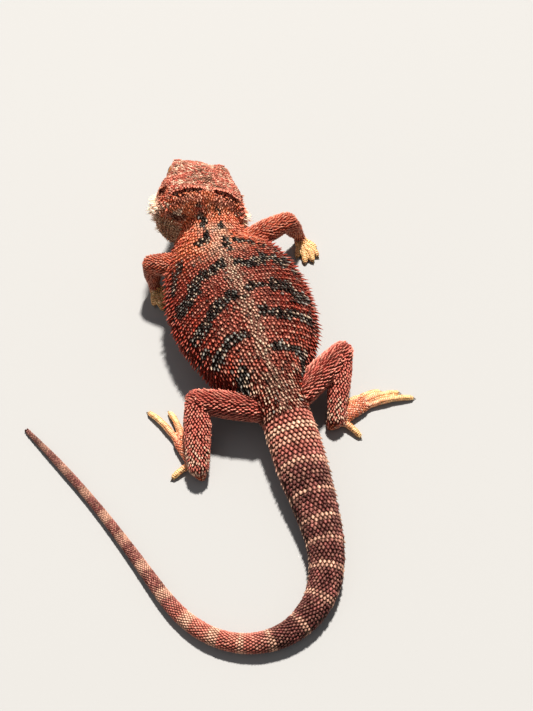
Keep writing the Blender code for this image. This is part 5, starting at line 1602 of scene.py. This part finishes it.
def filling_scales(placer):
    """Small granules wherever rows leave the skin bare, as in the arms' and legs' folds."""
    rng = np.random.default_rng(28)
    filling, small = Scales("granules"), Scales("small_granules")
    gap_of = np.array([0.27 if part in SOLES + DIGITS else 0.37 for part in PARTS])
    gap_of[PARTS.index(HEAD_PART)] = 0.27
    eyes = [eye_frame(side)[:2] for side in (1, -1)]

    def gap_at(points, number):
        gap = gap_of[number]
        place = from_head(points)
        slit = in_slit(place, 0.4, 0.3) & (number == PARTS.index(HEAD_PART))
        gap = np.where(slit | (points[:, 2] < 0.08), 0.0, gap)
        for eye, out in eyes:
            offset = points - eye
            far = np.linalg.norm(offset, axis=1)
            gap = np.where((far < 2.25) | ((far < 2.6) & (unit(offset) @ out > 0.62)), 0.0, gap)
        return gap

    where, normals, back, labels, gaps, uv = placer.scatter(gap_at, tries=3)
    for k in np.unique(labels[:, 0]):
        mask = labels[:, 0] == k
        colour = part_colours(k, where[mask], uv[mask, 0], uv[mask, 1])
        size = sizes_of(gaps[mask], 1.2, 1.3, 0.42, rng, 0.15)
        fine = PARTS[k] in (HEAD_PART, *SOLES, *DIGITS)
        # Painted shade: granules between the rows on the body are darkened as gaps, fading out towards the
        # neck; those on the head, soles and digits are not.
        gap_shade = 0.0 if fine else 0.72
        if PARTS[k] is TRUNK_PART:
            gap_shade = gap_shade * smoothstep((where[mask, 1] - PELVIS[1] + 42) / 6)
        low = mixed(colour, PAINTED_SHADE, 0.5 + 0.4 * gap_shade)
        high = tinted(mixed(mixed(colour, CREAM, 0.12), PAINTED_SHADE, gap_shade), rng, 0.15)
        target = small if fine else filling
        at = (PARTS[k], *uv[mask].T)
        target.add("grain", where[mask], normals[mask], back[mask], size, low, high, at, lean=0.3)
    return filling, small


def lid_edge(a):
    """How far from the way the eye looks the lids' edge lies, round the eye."""
    wide, tall = np.radians(LID_OPEN)
    return 1.0 / ((np.abs(np.cos(a)) / wide) ** 1.6 + (np.abs(np.sin(a)) / tall) ** 1.6) ** (1 / 1.6)


def lid_radius(beyond):
    """How far from the eye's centre the lid's scales stand, by degrees beyond its edge."""
    return EYE_RADIUS + 0.12 + 0.16 * math.sin(math.radians(min(beyond * 5.0, 90.0)))


# The lids' profile: degrees beyond the edge, and height over the eye.
LID_PROFILE = [
    (2.0, -0.06), (0.5, 0.02), (0.0, 0.09), (1.5, 0.18), (6.0, 0.26),
    (14.0, 0.3), (24.0, 0.3), (36.0, 0.26), (46.0, 0.1), (54.0, -0.3),
]


def lid_grids():
    grids = []
    a = np.linspace(0, 2 * np.pi, 56, endpoint=False)
    for side in (1, -1):
        centre, out, along, tall = eye_frame(side)
        rows = []
        spoke = along[None] * np.cos(a)[:, None] + tall[None] * np.sin(a)[:, None]
        for beyond, radius in LID_PROFILE:
            angle = np.minimum(lid_edge(a) + math.radians(beyond), math.radians(108))
            normal = out[None] * np.cos(angle)[:, None] + spoke * np.sin(angle)[:, None]
            rows.append(centre + normal * (EYE_RADIUS + radius))
        grid = np.array(rows)
        grids.append(grid if side > 0 else grid[:, ::-1])
    return grids


def add_grids(obj, grids):
    """Adds open sheets to a mesh that is already there."""
    bm = bmesh.new()
    bm.from_mesh(obj.data)
    for grid in grids:
        n, m, _ = grid.shape
        verts = [[bm.verts.new(p) for p in row] for row in grid]
        for i in range(n - 1):
            for j in range(m):
                k = (j + 1) % m
                bm.faces.new((verts[i][j], verts[i][k], verts[i + 1][k], verts[i + 1][j]))
    bm.to_mesh(obj.data)
    bm.free()


def make_eyes(material):
    """Each eye with its dark pupil, streaked golden brown iris and dark rim."""
    for side, name in ((1, "left"), (-1, "right")):
        centre, out, along, tall = eye_frame(side)
        b = np.linspace(0, 2 * np.pi, 48, endpoint=False)
        spoke = along[None] * np.cos(b)[:, None] + tall[None] * np.sin(b)[:, None]
        rings, colours = [], []
        rng = np.random.default_rng(31)
        streak = 1 + 0.28 * np.sin(b * 23 + 3) * np.cos(b * 11) + rng.uniform(-0.12, 0.12, len(b))
        for degrees in (4, 8, 12, 16, 19, 21.5, 24, 28, 33, 38, 42, 46, 52, 60, 72, 90, 115, 150, 178):
            angle = math.radians(degrees)
            bulge = EYE_RADIUS - 0.02 + 0.07 * math.exp(-((angle / 0.6) ** 2))
            rings.append(centre + (out[None] * math.cos(angle) + spoke * math.sin(angle)) * bulge)
            shade = np.outer(streak, np.array(IRIS) * (0.6 + 0.6 * smoothstep((40 - degrees) / 16)))
            ring = mixed(shade, PUPIL, smoothstep((17.5 - degrees) / 2.0))
            ring = mixed(ring, LIMBUS, smoothstep((degrees - 37) / 5.0))
            colours.append(ring)
        verts, faces = grid_mesh([np.array(rings)])
        colours = np.vstack([*colours, colours[0].mean(0)[None], colours[-1].mean(0)[None]])
        obj = new_object("eyeball_" + name, verts * METRES, faces)
        paint(obj.data, colours)
        mesh_outward(obj)
        dress(obj, material, ["eye_" + name])


def mesh_outward(obj):
    bm = bmesh.new()
    bm.from_mesh(obj.data)
    bmesh.ops.recalc_face_normals(bm, faces=bm.faces)
    bm.to_mesh(obj.data)
    bm.free()


def make_claws(material):
    verts, faces = grid_mesh([claw_grid(part) for part in DIGITS])
    verts[:, 2] = np.maximum(verts[:, 2], 0.0)
    obj = new_object("claws", verts * METRES, faces)
    share = np.tile([*np.repeat(np.linspace(0, 1, 9), 10), 0.0, 1.0], len(DIGITS))
    paint(obj.data, mixed((0.50, 0.33, 0.15), (0.20, 0.12, 0.06), smoothstep(share * 1.2)))
    mesh_outward(obj)
    dress(obj, material, ["hand_left", "hand_right", "foot_left", "foot_right"])


def blank_material(name):
    material = bpy.data.materials.new(name)
    material.use_nodes = True
    return material, material.node_tree, material.node_tree.nodes["Principled BSDF"]


def set_inputs(node, values):
    for name, value in values.items():
        node.inputs[name].default_value = value


def new_node(tree, kind, values=()):
    node = tree.nodes.new("ShaderNode" + kind)
    set_inputs(node, dict(values))
    return node


def scaly_material(name, roughness, grain, depth, specular=0.3, soft=0.0, glint=(1.0, 1.0, 1.0)):
    """Painted markings and painted shade, broken up by fine noise in colour, roughness and bump."""
    material, tree, shader = blank_material(name)
    link = tree.links.new
    coordinates = new_node(tree, "TexCoord")

    def noise_of(scale, detail):
        node = new_node(tree, "TexNoise", {"Scale": scale, "Detail": detail})
        link(coordinates.outputs["Object"], node.inputs["Vector"])
        return node.outputs["Fac"]

    markings_and_shade = new_node(tree, "Attribute")
    markings_and_shade.attribute_name = "Markings"
    shade = new_node(tree, "MapRange", {"From Min": 0.3, "From Max": 0.7, "To Min": 0.78, "To Max": 1.22})
    link(noise_of(900.0, 4.0), shade.inputs["Value"])
    multiply = new_node(tree, "VectorMath")
    multiply.operation = "SCALE"
    link(markings_and_shade.outputs["Color"], multiply.inputs[0])
    link(shade.outputs["Result"], multiply.inputs["Scale"])
    link(multiply.outputs["Vector"], shader.inputs["Base Color"])
    rough = new_node(tree, "MapRange", {"To Min": roughness - 0.1, "To Max": roughness + 0.14})
    link(noise_of(1600.0, 3.0), rough.inputs["Value"])
    link(rough.outputs["Result"], shader.inputs["Roughness"])
    bump = new_node(tree, "Bump", {"Strength": depth, "Distance": 0.00008})
    link(noise_of(grain, 5.0), bump.inputs["Height"])
    link(bump.outputs["Normal"], shader.inputs["Normal"])
    set_inputs(shader, {"Specular IOR Level": specular, "Specular Tint": (*glint, 1.0)})
    set_inputs(shader, {"Subsurface Weight": soft, "Subsurface Scale": 0.0004})
    set_inputs(shader, {"Subsurface Radius": (1.0, 0.35, 0.2)})
    return material


def eye_material():
    material = scaly_material("wet_eye", 0.3, 3000.0, 0.02, 0.1)
    shader = material.node_tree.nodes["Principled BSDF"]
    set_inputs(shader, {"Coat Weight": 0.55, "Coat Roughness": 0.03})
    return material


def make_floor():
    corners = np.array([(-8, -8, 0), (8, -8, 0), (8, 8, 0), (-8, 8, 0)], float)
    floor = new_object("floor", corners, [(0, 1, 2, 3)])
    material, tree, shader = blank_material("pale_floor")
    grain = new_node(tree, "TexNoise", {"Scale": 40.0})
    ramp = new_node(tree, "ValToRGB")
    for element, colour in zip(ramp.color_ramp.elements, ((0.345, 0.345, 0.34, 1), (0.37, 0.37, 0.365, 1))):
        element.color = colour
    tree.links.new(grain.outputs["Fac"], ramp.inputs["Fac"])
    tree.links.new(ramp.outputs["Color"], shader.inputs["Base Color"])
    set_inputs(shader, {"Roughness": 0.8})
    floor.data.materials.append(material)


def make_light():
    """Hard warm sun from ahead, as in the photograph, a weak fill and a plain sky."""
    scene = bpy.context.scene
    scene.world = bpy.data.worlds.new("studio")
    scene.world.use_nodes = True
    tree = scene.world.node_tree
    split, sky = new_node(tree, "SeparateXYZ"), new_node(tree, "ValToRGB")
    tree.links.new(new_node(tree, "TexCoord").outputs["Generated"], split.inputs["Vector"])
    colours = ((0.67, 0.66, 0.63, 1), (0.20, 0.205, 0.215, 1))
    for element, place, colour in zip(sky.color_ramp.elements, (0.12, 0.32), colours):
        element.position, element.color = place, colour
    tree.links.new(split.outputs["Z"], sky.inputs["Fac"])
    tree.links.new(sky.outputs["Color"], tree.nodes["Background"].inputs["Color"])
    for name, towards, strength, soft, colour in (
        ("key", (-0.34, -0.62, 1.0), 6.6, 5.0, (1.0, 0.955, 0.90)),
        ("fill", (0.9, 0.5, 0.6), 0.2, 60.0, (0.96, 0.97, 1.0)),
    ):
        light = bpy.data.lights.new(name, "SUN")
        light.energy, light.angle, light.color = strength, math.radians(soft), colour
        turn = (-Vector(towards)).to_track_quat("-Z", "Y")
        in_scene(name, light).rotation_euler = turn.to_euler()
    scene.view_settings.view_transform = "Standard"
    scene.view_settings.look = "Medium High Contrast"


def make_camera():
    """The photograph's viewpoint, above and behind the animal."""
    camera = bpy.data.cameras.new("camera")
    camera.sensor_width = 36.0
    camera.lens = 1378 * 36 / 711  # a focal length of 1378 pixels in a photograph 711 pixels tall
    camera.clip_start = 0.01
    obj = in_scene("camera", camera)
    place = Vector((PELVIS + np.array([55.92, 129.92, 234.27])) * METRES)
    back = -Vector((-0.2095, -0.5185, -0.829)).normalized()
    right = Vector((0, 0, 1)).cross(back).normalized()
    turn = Matrix((right, back.cross(right), back)).transposed().to_4x4()
    obj.matrix_world = Matrix.Translation(place) @ turn
    bpy.context.scene.camera = obj


FLESH = ["head", "lower_jaw", "neck", "torso", *(f"tail_{k}" for k in range(1, 6))]
for kind in ("upper_arm", "forearm", "hand", "thigh", "shin", "foot"):
    FLESH += [f"{kind}_left", f"{kind}_right"]


def flesh(*starts):
    """The solids that a piece stands for, by how their names start."""
    return [name for name in FLESH if name.startswith(starts)]


def skin_colours_with_painted_shade(co, placer):
    """The skin's markings, darkened all over as painted shade between the scales, with painted shade in the
    mouth line, the ear and nostril holes and the hollows under the rim.
    """
    # Painted shade: the bare skin shows only between the scales, so it is darkened all over.
    colours = skin_colours(co, placer) * 0.22
    # Painted shade along the mouth line.
    slit = in_slit(from_head(co), 0.3, 0.6) & (np.linalg.norm(co - in_head(8, 0, -5), axis=1) < 15)
    colours[slit] = PAINTED_SHADE
    for side in (1, -1):
        ear, nostril = (np.linalg.norm(co - mirrored(spot, side), axis=1) for spot in (EAR_AT, NOSTRIL_AT))
        # The ear gets a dark orange brown ring; inside the ear and the nostril, near black, is painted shade
        # in the holes.
        colours = mixed(colours, (0.20, 0.055, 0.02), smoothstep((1.9 - ear) / 0.4) * 0.8)
        colours = mixed(colours, PAINTED_SHADE, smoothstep((1.45 - ear) / 0.4) * 0.85)
        colours = mixed(colours, (0.01, 0.006, 0.005), smoothstep((0.55 - nostril) / 0.2))
    # Painted shade in the hollows under the skull's rim.
    for spot in placer.hollows:
        colours = mixed(colours, PAINTED_SHADE, smoothstep((0.95 - np.linalg.norm(co - spot, axis=1)) / 0.35))
    return colours


def main():
    skin = build_skin()
    placer = Placer(skin)
    scaly = scaly_material("scaly_skin", 0.38, 5200.0, 0.3, 0.26, glint=(1.0, 0.66, 0.56))
    pale = scaly_material("pale_scales", 0.46, 5200.0, 0.25, 0.2, 0.2)
    horn = scaly_material("claw_horn", 0.3, 4200.0, 0.15)
    eye = eye_material()
    add_grids(skin, lid_grids())
    co = mesh_points(skin.data)
    paint(skin.data, skin_colours_with_painted_shade(co, placer))
    set_points(skin.data, co * METRES)
    dress(skin, scaly_material("bare_skin", 0.78, 5200.0, 0.4, 0.1), FLESH)
    face, beard = head_scales(placer)
    fringe, back, belly = trunk_scales(placer)
    limbs, paws, tail = limb_scales(placer), paw_scales(placer), tail_scales(placer)
    filling, small = filling_scales(placer)
    for scales, material, slot, nodes in (
        (face, scaly, "skin", ["head"]),
        (beard, pale, "beard", ["lower_jaw"]),
        (fringe, scaly, "skin", ["torso"]),
        (back, scaly, "skin", ["torso", "neck"]),
        (belly, scaly, "skin", ["torso", "neck"]),
        (limbs, scaly, "skin", flesh("upper", "fore", "thigh", "shin")),
        (paws, pale, "skin_pale", flesh("hand", "foot")),
        (tail, scaly, "skin_tail", flesh("tail")),
        (filling, scaly, "skin", FLESH),
        (small, scaly, "skin", flesh("head", "lower_jaw", "hand", "foot")),
    ):
        scales.build(material, slot, nodes)
    make_eyes(eye)
    make_claws(horn)
    make_floor()
    make_light()
    make_camera()


main()
